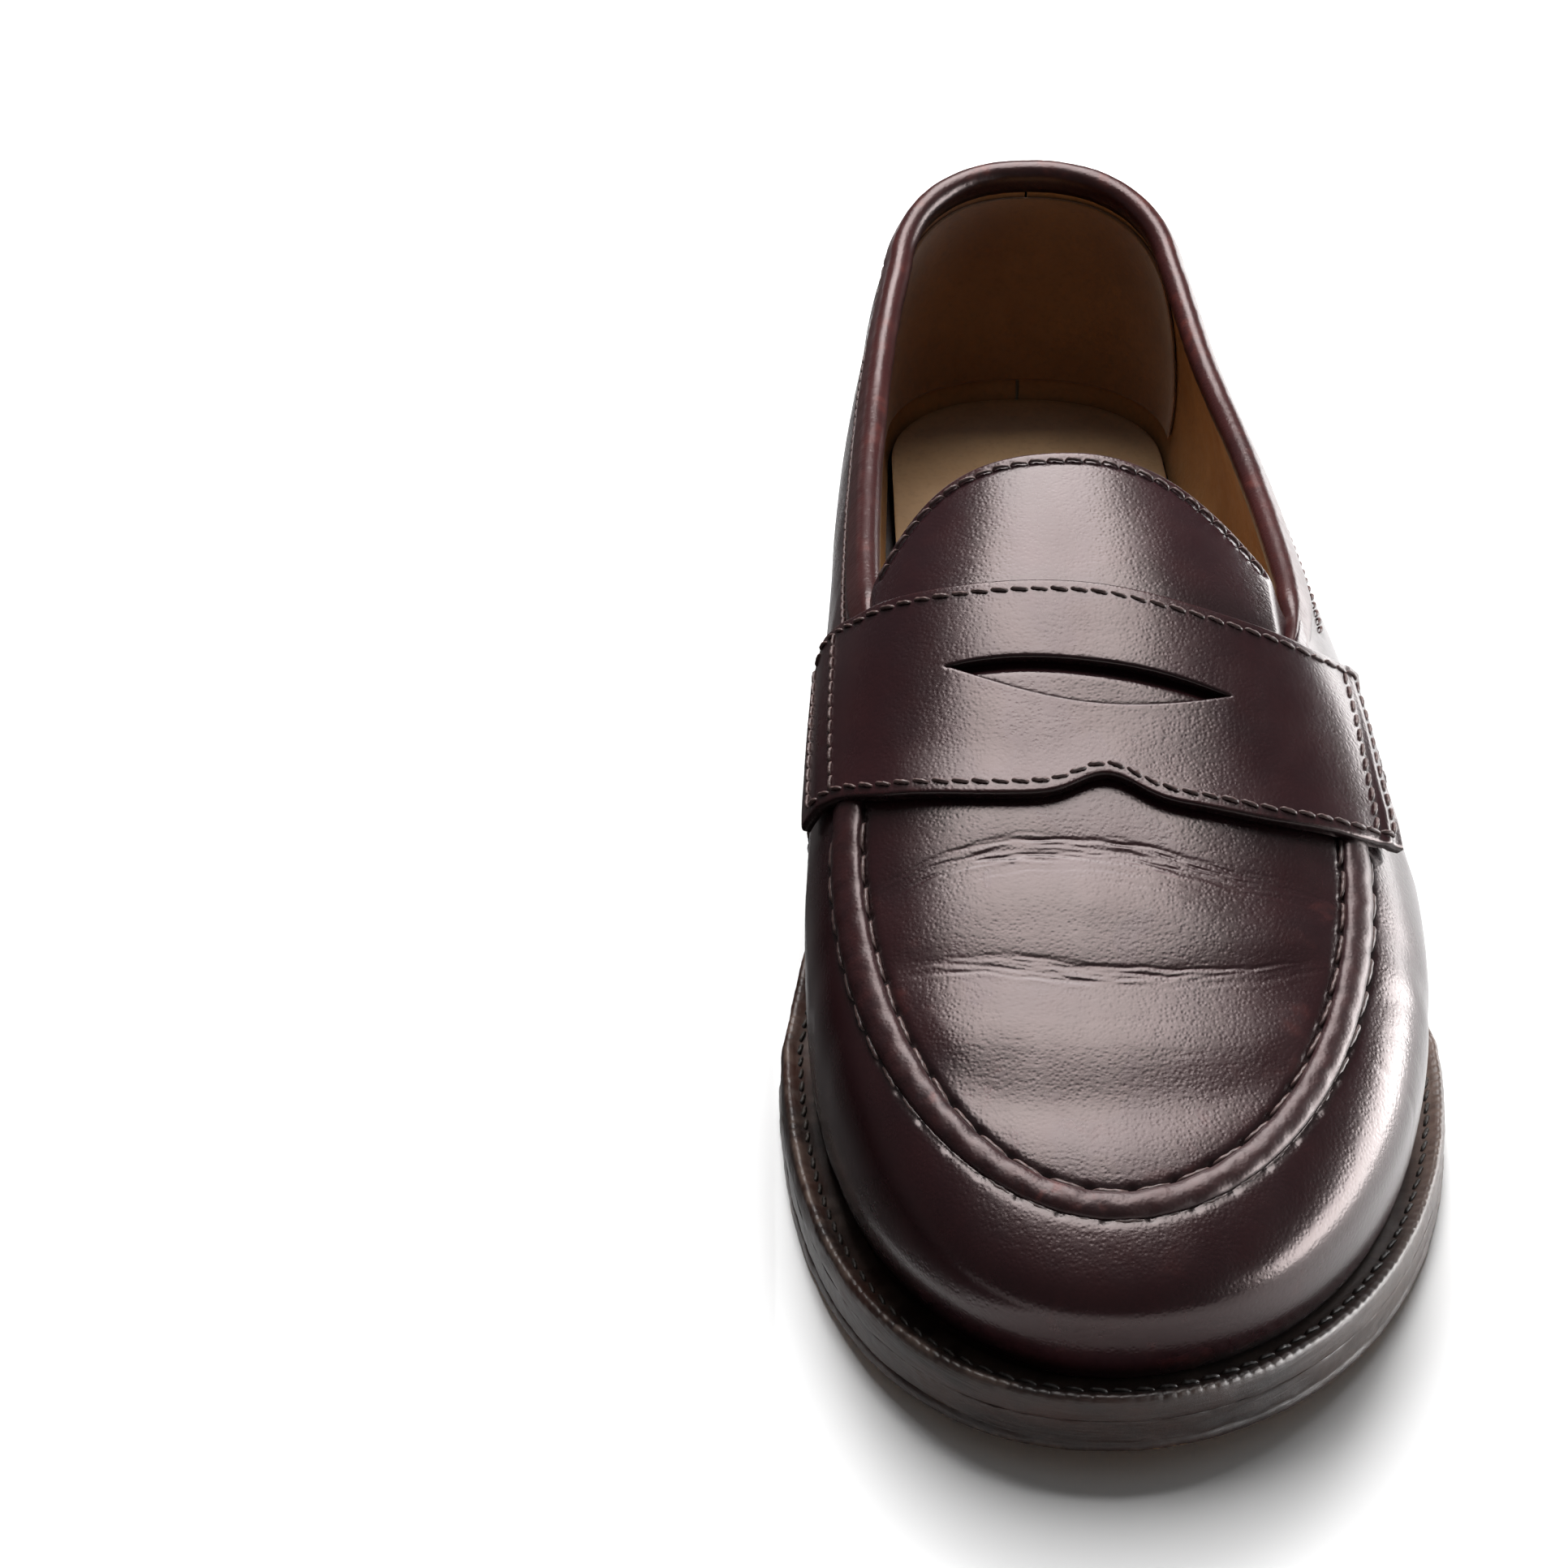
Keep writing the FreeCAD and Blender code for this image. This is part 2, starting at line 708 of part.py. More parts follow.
def add_threads():
    add_shape("apron_stitch_outer", thread_on_seam(size("stitch_reach")))
    add_shape("apron_stitch_inner", thread_on_seam(-size("stitch_reach")))
    out = 0.25 + size("strap_leather") + size("thread")
    us = steps(-0.84, -0.2, 13) + steps(-0.2, 0.2, 13)[1:] + steps(0.2, 0.84, 13)[1:]
    add_shape("strap_stitch_back", strap_patch(us, (0.045, 0.055, 0.065), out, size("thread")))
    add_shape("strap_stitch_front", strap_patch(us, (0.935, 0.945, 0.955), out, size("thread")))
    rows = []
    for u in (-0.85, -0.69, 0.72, 0.847):
        rows.append(strap_patch((u - 0.005, u, u + 0.005), steps(0.08, 0.92, 9), out, size("thread")))
    add_shape("strap_stitch_ends", Part.makeCompound(rows))

    grid_rows = []
    for inset in (1.9, 2.3, 2.7):
        grid_rows.append(tongue_rows(inset, 0.0, 0.0, 2)[0])
    add_shape("tongue_stitch", crown_panel(grid_rows, 0.05 + size("thread"), size("thread")))

    pieces = []
    for side in (MEDIAL, LATERAL):
        columns = [(side, q) for q in even_q(0.16, side_q(size("binding_end")), 20)]
        pieces.append(thread_on_wall(columns, lambda s, q: topline_g(s, q, 5.2), 0.05))
    add_shape("topline_stitch", Part.makeCompound(pieces))


# ---------------------------------------------------------------- the sole and heel
def closed_outline(line, inset):
    """Points (x, station) of a closed line round the shoe, its outer half and its inner half."""
    q_values = steps(0.0, 1.0, 5) + steps(1.0, 2.0, 7)[1:] + steps(2.0, 3.0, 12)[1:]
    lateral = [outline_point(line, LATERAL, q, inset) for q in q_values]
    medial = [outline_point(line, MEDIAL, q, inset) for q in q_values]
    return lateral, medial


def sketch_on(body, plane, name):
    sketch = body.newObject("Sketcher::SketchObject", name)
    origin_plane = [feature for feature in body.Origin.OriginFeatures if feature.Role == plane][0]
    sketch.AttachmentSupport = [(origin_plane, "")]
    sketch.MapMode = "FlatFace"
    return sketch


def closed_spline(sketch, line, inset):
    lateral, medial = closed_outline(line, inset)
    points = [Vector(x, HEEL - station, 0) for x, station in lateral + medial[-2:0:-1]]
    curve = Part.BSplineCurve()
    curve.interpolate(Points=points, PeriodicFlag=True)
    sketch.addGeometry(curve, False)


def side_profile(sketch, low, high, start, end):
    """Two smooth edges, one above the other, joined at their ends. low and high give the height at a station."""
    stations = steps(start, end, 14)
    for function in (low, high):
        curve = Part.BSplineCurve()
        curve.interpolate([Vector(HEEL - station, function(station), 0) for station in stations])
        sketch.addGeometry(curve, False)
    for station in (start, end):
        y = HEEL - station
        sketch.addGeometry(Part.LineSegment(Vector(y, low(station), 0), Vector(y, high(station), 0)), False)


def symmetric(feature):
    feature.SideType = "Symmetric"


def slab_body(name, low, high, start, end):
    """A body padded from its side profile, wider than the shoe."""
    body = doc.addObject("PartDesign::Body", name)
    body.Label = name
    profile = sketch_on(body, "YZ_Plane", f"{name}_profile")
    side_profile(profile, low, high, start, end)
    pad = body.newObject("PartDesign::Pad", f"{name}_pad")
    pad.Profile = profile
    symmetric(pad)
    pad.setExpression("Length", "sizes.cut_width")
    doc.recompute()
    return body


def cut_outside(body, draw):
    """Trim a slab to the closed line that draw puts in the sketch."""
    plan = sketch_on(body, "XY_Plane", f"{body.Name}_plan")
    side, front, back = 90.0, -290.0, 70.0
    corners = [Vector(-side, front, 0), Vector(side, front, 0), Vector(side, back, 0), Vector(-side, back, 0)]
    for first, second in zip(corners, corners[1:] + corners[:1]):
        plan.addGeometry(Part.LineSegment(first, second), False)
    draw(plan)
    pocket(body, plan)


def pocket(body, plan):
    before = body.Shape.Volume
    cut = body.newObject("PartDesign::Pocket", f"{plan.Name}_pocket")
    cut.Profile = plan
    cut.Type = "ThroughAll"
    symmetric(cut)
    doc.recompute()
    if body.Shape.Volume >= before - 1:
        problems.append(f"{body.Label}: the pocket cut nothing")


def stack_level(above):
    return lambda station: height("tread", station) + above


def sole_layer(name, line, inset, low, high, hole=None):
    """A layer of the sole that follows the tread's curve, trimmed to an outline, with an inner outline cut out."""
    body = slab_body(name, stack_level(low), stack_level(high), -4.0, 304.0)
    cut_outside(body, lambda plan: closed_spline(plan, line, inset))
    if hole is not None:
        inner = sketch_on(body, "XY_Plane", f"{name}_hole")
        closed_spline(inner, *hole)
        pocket(body, inner)
    made.append(body)


def add_sole():
    out = size("outsole")
    top = size("sole_stack")
    welt_in = size("welt_inset")
    rib_in = welt_in + 0.4
    rib_end = rib_in + size("rib_width")
    cork_low = out + 0.1
    sole_layer("outsole", "sole", 0.0, 0.0, out)
    sole_layer("welt", "sole", 0.0, out + 0.1, out + 0.1 + size("welt"), ("feather", welt_in))
    sole_layer("insole_rib", "feather", rib_in, cork_low, top, ("feather", rib_end))
    sole_layer("cork_filler", "feather", rib_end + 0.4, cork_low, cork_low + size("cork"))
    insole_low = top + 0.1
    insole_top = insole_low + size("insole")
    sole_layer("insole", "feather", size("insole_inset"), insole_low, insole_top)
    sock_in = size("insole_inset") + 0.7
    sole_layer("sock_liner", "feather", sock_in, insole_top + 0.1, insole_top + 0.1 + size("sock"))


def add_shank():
    low = size("outsole") + 0.1 + size("cork") + 0.1
    start, end = size("shank_start"), size("shank_end")
    body = slab_body("shank", stack_level(low), stack_level(low + size("shank_thickness")), start, end)
    body.getObject("shank_pad").setExpression("Length", "sizes.shank_width")
    made.append(body)


def nail_places():
    """(x, y) of the heel nails: a row round the heel's edge."""
    places = []
    for side in (MEDIAL, LATERAL):
        for q in (0.35, 0.75, 1.12):
            x, station = outline_point("sole", side, q, 9.0)
            places.append((x, HEEL - station))
    return places


def heel_outline(sketch, inset, breast, back=None):
    """The heel's D shape, or the part of it in front of a straight cut at the back station."""
    q_values = steps(0.0, 1.0, 7) + steps(1.0, side_q(breast), 4)[1:]
    points = {side: [outline_point("sole", side, q, inset) for q in q_values] for side in (MEDIAL, LATERAL)}
    if back is not None:
        points = {side: [p for p in points[side] if p[1] > back + 2] for side in points}
        for side in points:
            q = solve(lambda value: outline_point("sole", side, value, inset)[1] - back, 0.0, 1.0)
            points[side].insert(0, outline_point("sole", side, q, inset))
        for side in points:
            curve = Part.BSplineCurve()
            curve.interpolate([Vector(x, HEEL - station, 0) for x, station in points[side]])
            sketch.addGeometry(curve, False)
        pairs = ((points[MEDIAL][0], points[LATERAL][0]), (points[MEDIAL][-1], points[LATERAL][-1]))
    else:
        line = points[MEDIAL][::-1] + points[LATERAL][1:]
        curve = Part.BSplineCurve()
        curve.interpolate([Vector(x, HEEL - station, 0) for x, station in line])
        sketch.addGeometry(curve, False)
        pairs = ((line[0], line[-1]),)
    for first, second in pairs:
        ends = [Vector(x, HEEL - station, 0) for x, station in (first, second)]
        sketch.addGeometry(Part.LineSegment(*ends), False)


def nail_holes(sketch, places):
    for x, y in places:
        sketch.addGeometry(Part.Circle(Vector(x, y, 0), Vector(0, 0, 1), size("nail_radius") + 0.05), False)


def flat_body(name, draw, level, thickness):
    """A flat piece. level and thickness are expressions of the sheet."""
    body = doc.addObject("PartDesign::Body", name)
    body.Label = name
    plan = sketch_on(body, "XY_Plane", f"{name}_plan")
    draw(plan)
    plan.setExpression("AttachmentOffset.Base.z", level)
    pad = body.newObject("PartDesign::Pad", f"{name}_pad")
    pad.Profile = plan
    pad.setExpression("Length", thickness)
    doc.recompute()
    made.append(body)
    return body


def add_heel():
    breast = size("heel_breast")
    rubber = size("rubber_station")
    places = nail_places()
    front_nails = [place for place in places if HEEL - place[1] > rubber + 2]
    back_nails = [place for place in places if HEEL - place[1] < rubber - 2]
    inset = size("heel_inset")

    def top_piece(plan):
        heel_outline(plan, inset + 0.8, breast, rubber)
        nail_holes(plan, front_nails)

    def tip(plan):
        q_values = steps(0.0, 1.0, 9)
        points = {side: [outline_point("sole", side, q, inset + 0.8) for q in q_values] for side in SIGN}
        line = {side: [p for p in points[side] if p[1] < rubber - 2.5] for side in SIGN}
        for side in SIGN:
            q = solve(lambda value: outline_point("sole", side, value, inset + 0.8)[1] - rubber + 0.1, 0.0, 1.0)
            line[side].append(outline_point("sole", side, q, inset + 0.8))
        joined = line[MEDIAL][::-1] + line[LATERAL][1:]
        vectors = [Vector(x, HEEL - station, 0) for x, station in joined]
        curve = Part.BSplineCurve()
        curve.interpolate(vectors)
        plan.addGeometry(curve, False)
        plan.addGeometry(Part.LineSegment(vectors[0], vectors[-1]), False)
        nail_holes(plan, back_nails)

    flat_body("top_piece", top_piece, "0 mm", "sizes.top_piece")
    flat_body("top_piece_rubber", tip, "0 mm", "sizes.top_piece")
    for number in range(3):

        def lift(plan, number=number):
            heel_outline(plan, inset + 0.5 - 0.2 * number, breast)
            nail_holes(plan, places)

        level = f"(sizes.top_piece + sizes.lift_gap + {number} * (sizes.lift + sizes.lift_gap)) * 1 mm"
        flat_body(f"heel_lift_{number + 1}", lift, level, "sizes.lift")

    low = size("top_piece") + 3 * size("lift") + 4 * size("lift_gap")
    body = slab_body("heel_rand", lambda s: low, stack_level(-0.05), -4.0, breast)
    cut_outside(body, lambda plan: closed_spline(plan, "sole", inset - 0.4))
    made.append(body)


def add_nails():
    pins = []
    for number, (x, y) in enumerate(nail_places(), 1):
        pin = doc.addObject("Part::Cylinder", f"nail_{number}")
        pin.setExpression("Radius", "sizes.nail_radius")
        pin.setExpression("Height", "sizes.nail_length")
        pin.Placement.Base = Vector(x, y, 0.0)
        pins.append(pin)
    group = doc.addObject("Part::Compound", "heel_nails")
    group.Label = "heel_nails"
    group.Links = pins
    made.append(group)


def add_welt_stitch():
    """The row of lockstitch on top of the welt, from the waist round the toe."""
    lift = size("outsole") + 0.1 + size("welt")
    grids = []
    for above in (0.05 + size("thread"), 0.05):
        grid = []
        for side, q in round_toe(side_q(120.0), 25):
            feather = outline_point("feather", side, q)
            sole = outline_point("sole", side, q)
            line = []
            for share in (0.5, 0.6, 0.7):
                x = feather[0] + (sole[0] - feather[0]) * share
                station = feather[1] + (sole[1] - feather[1]) * share
                line.append(Vector(x, HEEL - station, height("tread", station) + lift + above))
            grid.append(line)
        grids.append(grid)
    add_shape("welt_stitch", panel_shape(*grids))


for build in (
    add_vamp,
    add_vamp_lining,
    add_toe_puff,
    add_apron,
    add_apron_seam,
    add_quarters,
    add_backstay,
    add_topline_binding,
    add_tongue,
    add_strap,
    add_threads,
    add_sole,
    add_shank,
    add_heel,
    add_nails,
    add_welt_stitch,
):
    build()
doc.recompute()

# ---------------------------------------------------------------- checks and files
for thing in doc.Objects:
    if "Invalid" in thing.State or "Error" in thing.State:
        problems.append(f"{thing.Label}: {thing.State}")
for thing in made:
    if thing.Shape.isNull() or not thing.Shape.isValid() or not thing.Shape.Solids:
        problems.append(f"{thing.Label}: no valid solid")
if problems:
    raise RuntimeError("; ".join(problems))
for thing in made:
    thing.Shape.exportStep(f"parts/{thing.Label}.step")
    box = thing.Shape.BoundBox
    print(f"{thing.Label:22s} solids {len(thing.Shape.Solids)} volume {thing.Shape.Volume:9.0f}", end=" ")
    print(f"x {box.XMin:6.1f} {box.XMax:6.1f} y {box.YMin:6.1f} {box.YMax:6.1f} z {box.ZMin:5.1f} {box.ZMax:5.1f}")
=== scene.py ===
import math

import bmesh
import bpy
import numpy as np
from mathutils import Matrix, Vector, noise
from mathutils.kdtree import KDTree


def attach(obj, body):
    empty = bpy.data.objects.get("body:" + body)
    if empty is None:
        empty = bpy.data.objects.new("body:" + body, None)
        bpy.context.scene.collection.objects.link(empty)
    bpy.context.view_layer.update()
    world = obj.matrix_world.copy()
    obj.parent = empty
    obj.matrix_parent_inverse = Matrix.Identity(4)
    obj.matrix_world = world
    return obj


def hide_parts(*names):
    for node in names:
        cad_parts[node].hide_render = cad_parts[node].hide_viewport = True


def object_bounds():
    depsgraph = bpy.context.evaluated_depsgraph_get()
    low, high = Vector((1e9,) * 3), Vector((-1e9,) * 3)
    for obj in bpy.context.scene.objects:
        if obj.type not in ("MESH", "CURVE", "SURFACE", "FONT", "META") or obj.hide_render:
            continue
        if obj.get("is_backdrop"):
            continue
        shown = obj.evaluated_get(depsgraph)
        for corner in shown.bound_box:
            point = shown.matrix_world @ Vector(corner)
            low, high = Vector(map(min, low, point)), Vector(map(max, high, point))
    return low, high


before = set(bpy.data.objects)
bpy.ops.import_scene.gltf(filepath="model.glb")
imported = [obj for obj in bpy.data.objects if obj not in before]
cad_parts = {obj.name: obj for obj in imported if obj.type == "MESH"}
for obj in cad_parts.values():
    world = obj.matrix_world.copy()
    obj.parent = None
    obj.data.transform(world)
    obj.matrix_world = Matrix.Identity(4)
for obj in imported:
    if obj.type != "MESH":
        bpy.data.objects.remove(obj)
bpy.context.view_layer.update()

# Penny loafer. Shapes are worked out in millimetres with the last's own formulas, as in the CAD part, and are
# turned into metres when a mesh is made. A station is a distance from the heel's back: y = HEEL - station.
MM = 0.001
HEEL, BALL, SEAM = 36.0, 200.0, 210.0
STATIONS = (36.0, 70.0, 105.0, 140.0, 170.0, 200.0)
MEDIAL, LATERAL = -1.0, 1.0
# q round the shoe at the heel's back and at the toe.
BACK, TOE = 0.0, 3.0

# Half-widths at the stations, and the toe's exponent: the inner side, then the outer side.
WIDTHS = {
    "body": (((33.5, 38.2, 40.5, 42.5, 44.5, 46.3), 2.3), ((34.5, 39.5, 45.5, 50.0, 54.0, 57.3), 2.1)),
    "feather": (((31.0, 31.0, 30.0, 34.0, 41.0, 45.3), 2.0), ((32.0, 33.5, 37.0, 45.0, 52.5, 56.6), 1.9)),
    "sole": (((35.0, 34.5, 34.0, 38.0, 45.5, 50.3), 2.3), ((36.0, 37.5, 42.0, 50.0, 58.0, 62.6), 1.9)),
}
ENDS = {"body": (1.5, 294.3), "feather": (4.5, 292.8), "sole": (0.0, 299.5)}
HEEL_POWER = 2.25
# Height of the welt's top over the tread, and of the last's core below its widest line.
SOLE_STACK = 9.2
CORE_DROP = 12.0
# The apron seam: its half-widths at the straight part's front, how fast it narrows backwards, and its tip.
SEAM_HALF = (39.6, 43.5)
SEAM_TAPER = 2.43 / 34.0
SEAM_TIP = 279.3
LEATHER, LINING = 1.6, 1.0
# The strap: its outer face above the last, its width, and where its slit starts and how long it is.
STRAP_OUT = 2.2
STRAP_WIDTH = 38.0
SLIT_START, SLIT_LENGTH = -21.8, 45.0
# The side seam's rows of stitches, and where the rubber corner of the heel begins.
SEAT_STATIONS = (172.0, 174.2)
RUBBER_CUT = 27.0
WHEEL_PITCH = 2.1


def smooth_curve(pairs):
    """A function through (place, value) pairs that never overshoots them."""
    places = np.array([pair[0] for pair in pairs], float)
    values = np.array([pair[1] for pair in pairs], float)
    gaps = np.diff(places)
    slopes = np.diff(values) / gaps
    tangents = np.zeros_like(values)
    tangents[0], tangents[-1] = slopes[0], slopes[-1]
    for i in range(1, len(slopes)):
        if slopes[i - 1] * slopes[i] > 0:
            wide, narrow = 2 * gaps[i] + gaps[i - 1], gaps[i] + 2 * gaps[i - 1]
            tangents[i] = (wide + narrow) / (wide / slopes[i - 1] + narrow / slopes[i])

    def value(place):
        place = np.asarray(place, float)
        i = np.clip(np.searchsorted(places, place, side="right") - 1, 0, len(gaps) - 1)
        t = np.clip((place - places[i]) / gaps[i], 0, 1)
        rise = t * t * (3 - 2 * t)
        pull = t * (1 - t) ** 2 * gaps[i] * tangents[i] + t * t * (t - 1) * gaps[i] * tangents[i + 1]
        return values[i] * (1 - rise) + values[i + 1] * rise + pull

    return value


crest = smooth_curve((
    (0, 110), (36, 108), (100, 100), (136, 93), (168, 83.5), (204, 66.5), (250, 48.5), (282, 38.5),
    (300, 34),
))
bulge = smooth_curve(((0, 50), (36, 50), (105, 44), (175, 36), (212, 30), (260, 25), (300, 23)))
tread = smooth_curve((
    (0, 25), (36, 24), (75, 20), (125, 9), (175, 2.5), (205, 0), (235, 0), (260, 1), (300, 5),
))
topline = smooth_curve((
    (0, 96), (10, 93), (20, 89), (36, 82.5), (60, 76.5), (85, 73), (115, 71.8), (140, 71.8), (170, 72.5),
))
full_inner = smooth_curve(((36, 1.95), (70, 1.85), (105, 2.1), (150, 2.6), (200, 3.2), (300, 3.5)))
full_outer = smooth_curve((
    (36, 2.05), (70, 1.8), (105, 1.8), (150, 2.0), (200, 2.35), (250, 3.0), (300, 3.5),
))
strap_front = smooth_curve((
    (-45, 196), (-32, 205), (-15, 208.3), (0, 209), (15, 210.3), (28, 211.5), (41, 209.8), (52, 204.5),
))
strap_back = smooth_curve(((-42, 155), (-36, 163), (-20, 168.5), (0, 170), (28, 174), (38, 173), (50, 166)))
widths = {
    (line, side): smooth_curve(tuple(zip(STATIONS, WIDTHS[line][int(side > 0)][0])))
    for line in WIDTHS
    for side in (MEDIAL, LATERAL)
}


def ease(value, low=0.0, high=1.0):
    """0 below low, 1 above high, and smooth between."""
    t = np.clip((np.asarray(value, float) - low) / (high - low), 0, 1)
    return t * t * (3 - 2 * t)


def bell(distance, width):
    """1 at no distance, falling smoothly to almost 0 at two widths."""
    return np.exp(-((distance / width) ** 2))


def pick(side, inner, outer):
    return np.where(np.asarray(side) > 0, outer, inner)


def half_at(line, side, place):
    """Half-width of a line at one of the stations: 0 is the heel's and -1 the ball's."""
    return pick(side, WIDTHS[line][0][0][place], WIDTHS[line][1][0][place])


def half_along(line, side, station):
    return pick(side, widths[line, MEDIAL](station), widths[line, LATERAL](station))


def toe_exponent(line, side):
    return pick(side, WIDTHS[line][0][1], WIDTHS[line][1][1])


def outline(line, side, q, inset=0.0):
    """x and station on a line round the shoe. q is 0 at the heel's back, 1 to 2 on the side and 3 at the toe."""
    side, q = np.broadcast_arrays(np.asarray(side, float), np.asarray(q, float))
    back, tip = ENDS[line][0] + inset, ENDS[line][1] - inset
    first, last = half_at(line, side, 0) - inset, half_at(line, side, -1) - inset
    toe_power = 2 / toe_exponent(line, side)
    heel_angle = np.radians(90 * np.clip(q, 0, 1))
    toe_angle = np.radians(90 * (np.clip(q, 2, 3) - 2))
    station = HEEL + (np.clip(q, 1, 2) - 1) * (BALL - HEEL)
    along = half_along(line, side, station) - inset
    toe_x = last * np.maximum(np.cos(toe_angle), 0) ** toe_power
    heel_x = first * np.sin(heel_angle) ** (2 / HEEL_POWER)
    heel_station = HEEL - (HEEL - back) * np.cos(heel_angle) ** (2 / HEEL_POWER)
    toe_station = BALL + (tip - BALL) * np.sin(toe_angle) ** toe_power
    x = np.where(q <= 1, heel_x, np.where(q <= 2, along, toe_x))
    return side * x, np.where(q <= 1, heel_station, np.where(q <= 2, station, toe_station))


def side_q(station):
    return 1 + (station - HEEL) / (BALL - HEEL)


def fullness(x, station):
    """The exponent of the upper's arched section, which is squarer towards the toe."""
    share = np.clip(0.5 + x / 110, 0, 1)
    return full_inner(station) * (1 - share) + full_outer(station) * share


def crown_height(x, station):
    """Height of the upper's outer face over a plan point ahead of the heel."""
    x, station = np.asarray(x, float), np.asarray(station, float)
    power, ball = toe_exponent("body", x), half_at("body", x, -1)
    ahead = np.clip((station - BALL) / (ENDS["body"][1] - BALL), 0, None)
    toe_reach = ((np.abs(x) / ball) ** power + ahead**power) ** (1 / power)
    reach = np.where(station > BALL, toe_reach, np.abs(x) / half_along("body", x, station))
    full = fullness(x, station)
    low = bulge(station)
    edge = 0.985

    def arch(r):
        return (1 - r**full) ** (1 / full)

    slope = (arch(edge) - arch(edge - 0.01)) / 0.01
    arched = np.where(reach > edge, arch(edge) + (reach - edge) * slope, arch(np.minimum(reach, edge)))
    return low + (crest(station) - low) * arched


def unit(vectors):
    return vectors / np.maximum(np.linalg.norm(vectors, axis=-1, keepdims=True), 1e-9)


def crown_normal(x, station):
    step = 0.3
    slope_x = (crown_height(x + step, station) - crown_height(x - step, station)) / (2 * step)
    slope_s = (crown_height(x, station + step) - crown_height(x, station - step)) / (2 * step)
    return unit(np.stack([-slope_x, slope_s, np.ones_like(slope_x)], -1))


def crown(x, station, offset=0.0):
    """Points of the upper's top, moved out along its normal by offset."""
    x, station = np.broadcast_arrays(np.asarray(x, float), np.asarray(station, float))
    point = np.stack([x, HEEL - station, crown_height(x, station)], -1)
    return point + crown_normal(x, station) * np.asarray(offset)[..., None]


def path_on_crown(x, station, offset):
    return crown(x, station, offset), crown_normal(x, station)


def wall_point(side, q, g):
    """Points of the upper's outer face: g is -1 at the welt, 0 at the widest line and 1 at the crest."""
    side, q, g = np.broadcast_arrays(np.asarray(side, float), np.asarray(q, float), np.asarray(g, float))
    body_x, body_s = outline("body", side, q)
    feather_x, feather_s = outline("feather", side, q)
    part = 1 - np.minimum(g, 0) ** 2
    low_x = feather_x + (body_x - feather_x) * part
    low_s = feather_s + (body_s - feather_s) * part
    base = tread(low_s) + SOLE_STACK
    low_z = base + (bulge(low_s) - base) * (np.minimum(g, 0) + 1)
    angle = np.radians(90 * np.clip(g, 0, 1))
    centre = np.clip(body_s, HEEL, BALL)
    share = np.maximum(np.cos(angle), 0) ** (2 / fullness(body_x * 0.8, body_s))
    high_x = body_x * share
    high_s = centre + (body_s - centre) * share
    full = fullness(high_x, high_s)
    arch = np.maximum(0, 1 - np.minimum(share, 1) ** full) ** (1 / full)
    high_z = bulge(high_s) + (crest(high_s) - bulge(high_s)) * arch
    up = g > 0
    return np.stack(
        [np.where(up, high_x, low_x), HEEL - np.where(up, high_s, low_s), np.where(up, high_z, low_z)], -1,
    )


def wall_frame(side, q, g):
    """The face's point, outward normal and upward direction."""
    point = wall_point(side, q, g)
    step = 0.01
    low_q, high_q = np.maximum(q - step, BACK), np.minimum(q + step, TOE)
    low_g, high_g = np.maximum(g - step, -1), np.minimum(g + step, 0.99)
    up = unit(wall_point(side, q, high_g) - wall_point(side, q, low_g))
    along = wall_point(side, high_q, g) - wall_point(side, low_q, g)
    normal = np.cross(along, up)
    station = HEEL - point[..., 1]
    core = np.stack([0 * station, HEEL - np.clip(station, HEEL, BALL), bulge(station) - CORE_DROP], -1)
    normal = normal * np.sign(np.sum(normal * (point - core), -1, keepdims=True))
    turn = np.broadcast_to(q, normal.shape[:-1])
    normal[..., 0] = np.where((turn <= BACK) | (turn >= TOE), 0, normal[..., 0])
    return point, unit(normal), up


def path_on_wall(side, q, g, offset):
    """Points off the wall by offset, and the wall's outward normals."""
    point, normal, _ = wall_frame(side, q, g)
    return point + normal * np.asarray(offset)[..., None], normal


def seam_reach(x, station, widen=0.0):
    """1 on the apron seam's line, made wider by widen."""
    half = pick(x, *SEAM_HALF) + widen
    ahead = np.clip(station - SEAM, 0, None) / (SEAM_TIP - SEAM + widen)
    return np.hypot(x / (half - SEAM_TAPER * np.clip(SEAM - station, 0, None)), ahead)


def solve(function, low, high):
    """Where a rising function of an array passes zero."""
    low, high = np.array(low, float), np.array(high, float)
    for _ in range(34):
        middle = (low + high) / 2
        below = function(middle) < 0
        low, high = np.where(below, middle, low), np.where(below, high, middle)
    return (low + high) / 2


def seam_g(side, q, widen=0.0):
    def inside(g):
        point = wall_point(side, q, g)
        return 1 - seam_reach(point[..., 0], HEEL - point[..., 1], widen)

    return solve(inside, np.zeros_like(q), np.full_like(q, 0.98))


def topline_g(side, q, drop=0.0):
    def above(g):
        point = wall_point(side, q, g)
        return point[..., 2] - topline(HEEL - point[..., 1]) + drop

    return solve(above, np.full_like(q, -0.5), np.full_like(q, 0.95))


def even_q(first, last, count):
    """q values about evenly spaced round the shoe."""
    lengths = [
        0, 1.5 * HEEL, 1.5 * HEEL + BALL - HEEL, 1.5 * HEEL + BALL - HEEL + 1.2 * (ENDS["body"][1] - BALL),
    ]
    ends = np.interp([first, last], [0, 1, 2, 3], lengths)
    return np.interp(np.linspace(ends[0], ends[1], count), lengths, [0, 1, 2, 3])


def even_rows(side, q, low, high, marks):
    """g at each column for rows at the marks, which are shares of the wall's girth from low to high."""
    low = low + 0 * q
    fine = low[:, None] + (high - low)[:, None] * np.linspace(0, 1, 60)[None, :]
    points = wall_point(side[:, None], q[:, None], fine)
    lengths = np.cumsum(np.linalg.norm(np.diff(points, axis=1), axis=-1), axis=1)
    lengths = np.concatenate([np.zeros((len(q), 1)), lengths], axis=1)
    return np.array([np.interp(marks * length[-1], length, line) for length, line in zip(lengths, fine)])


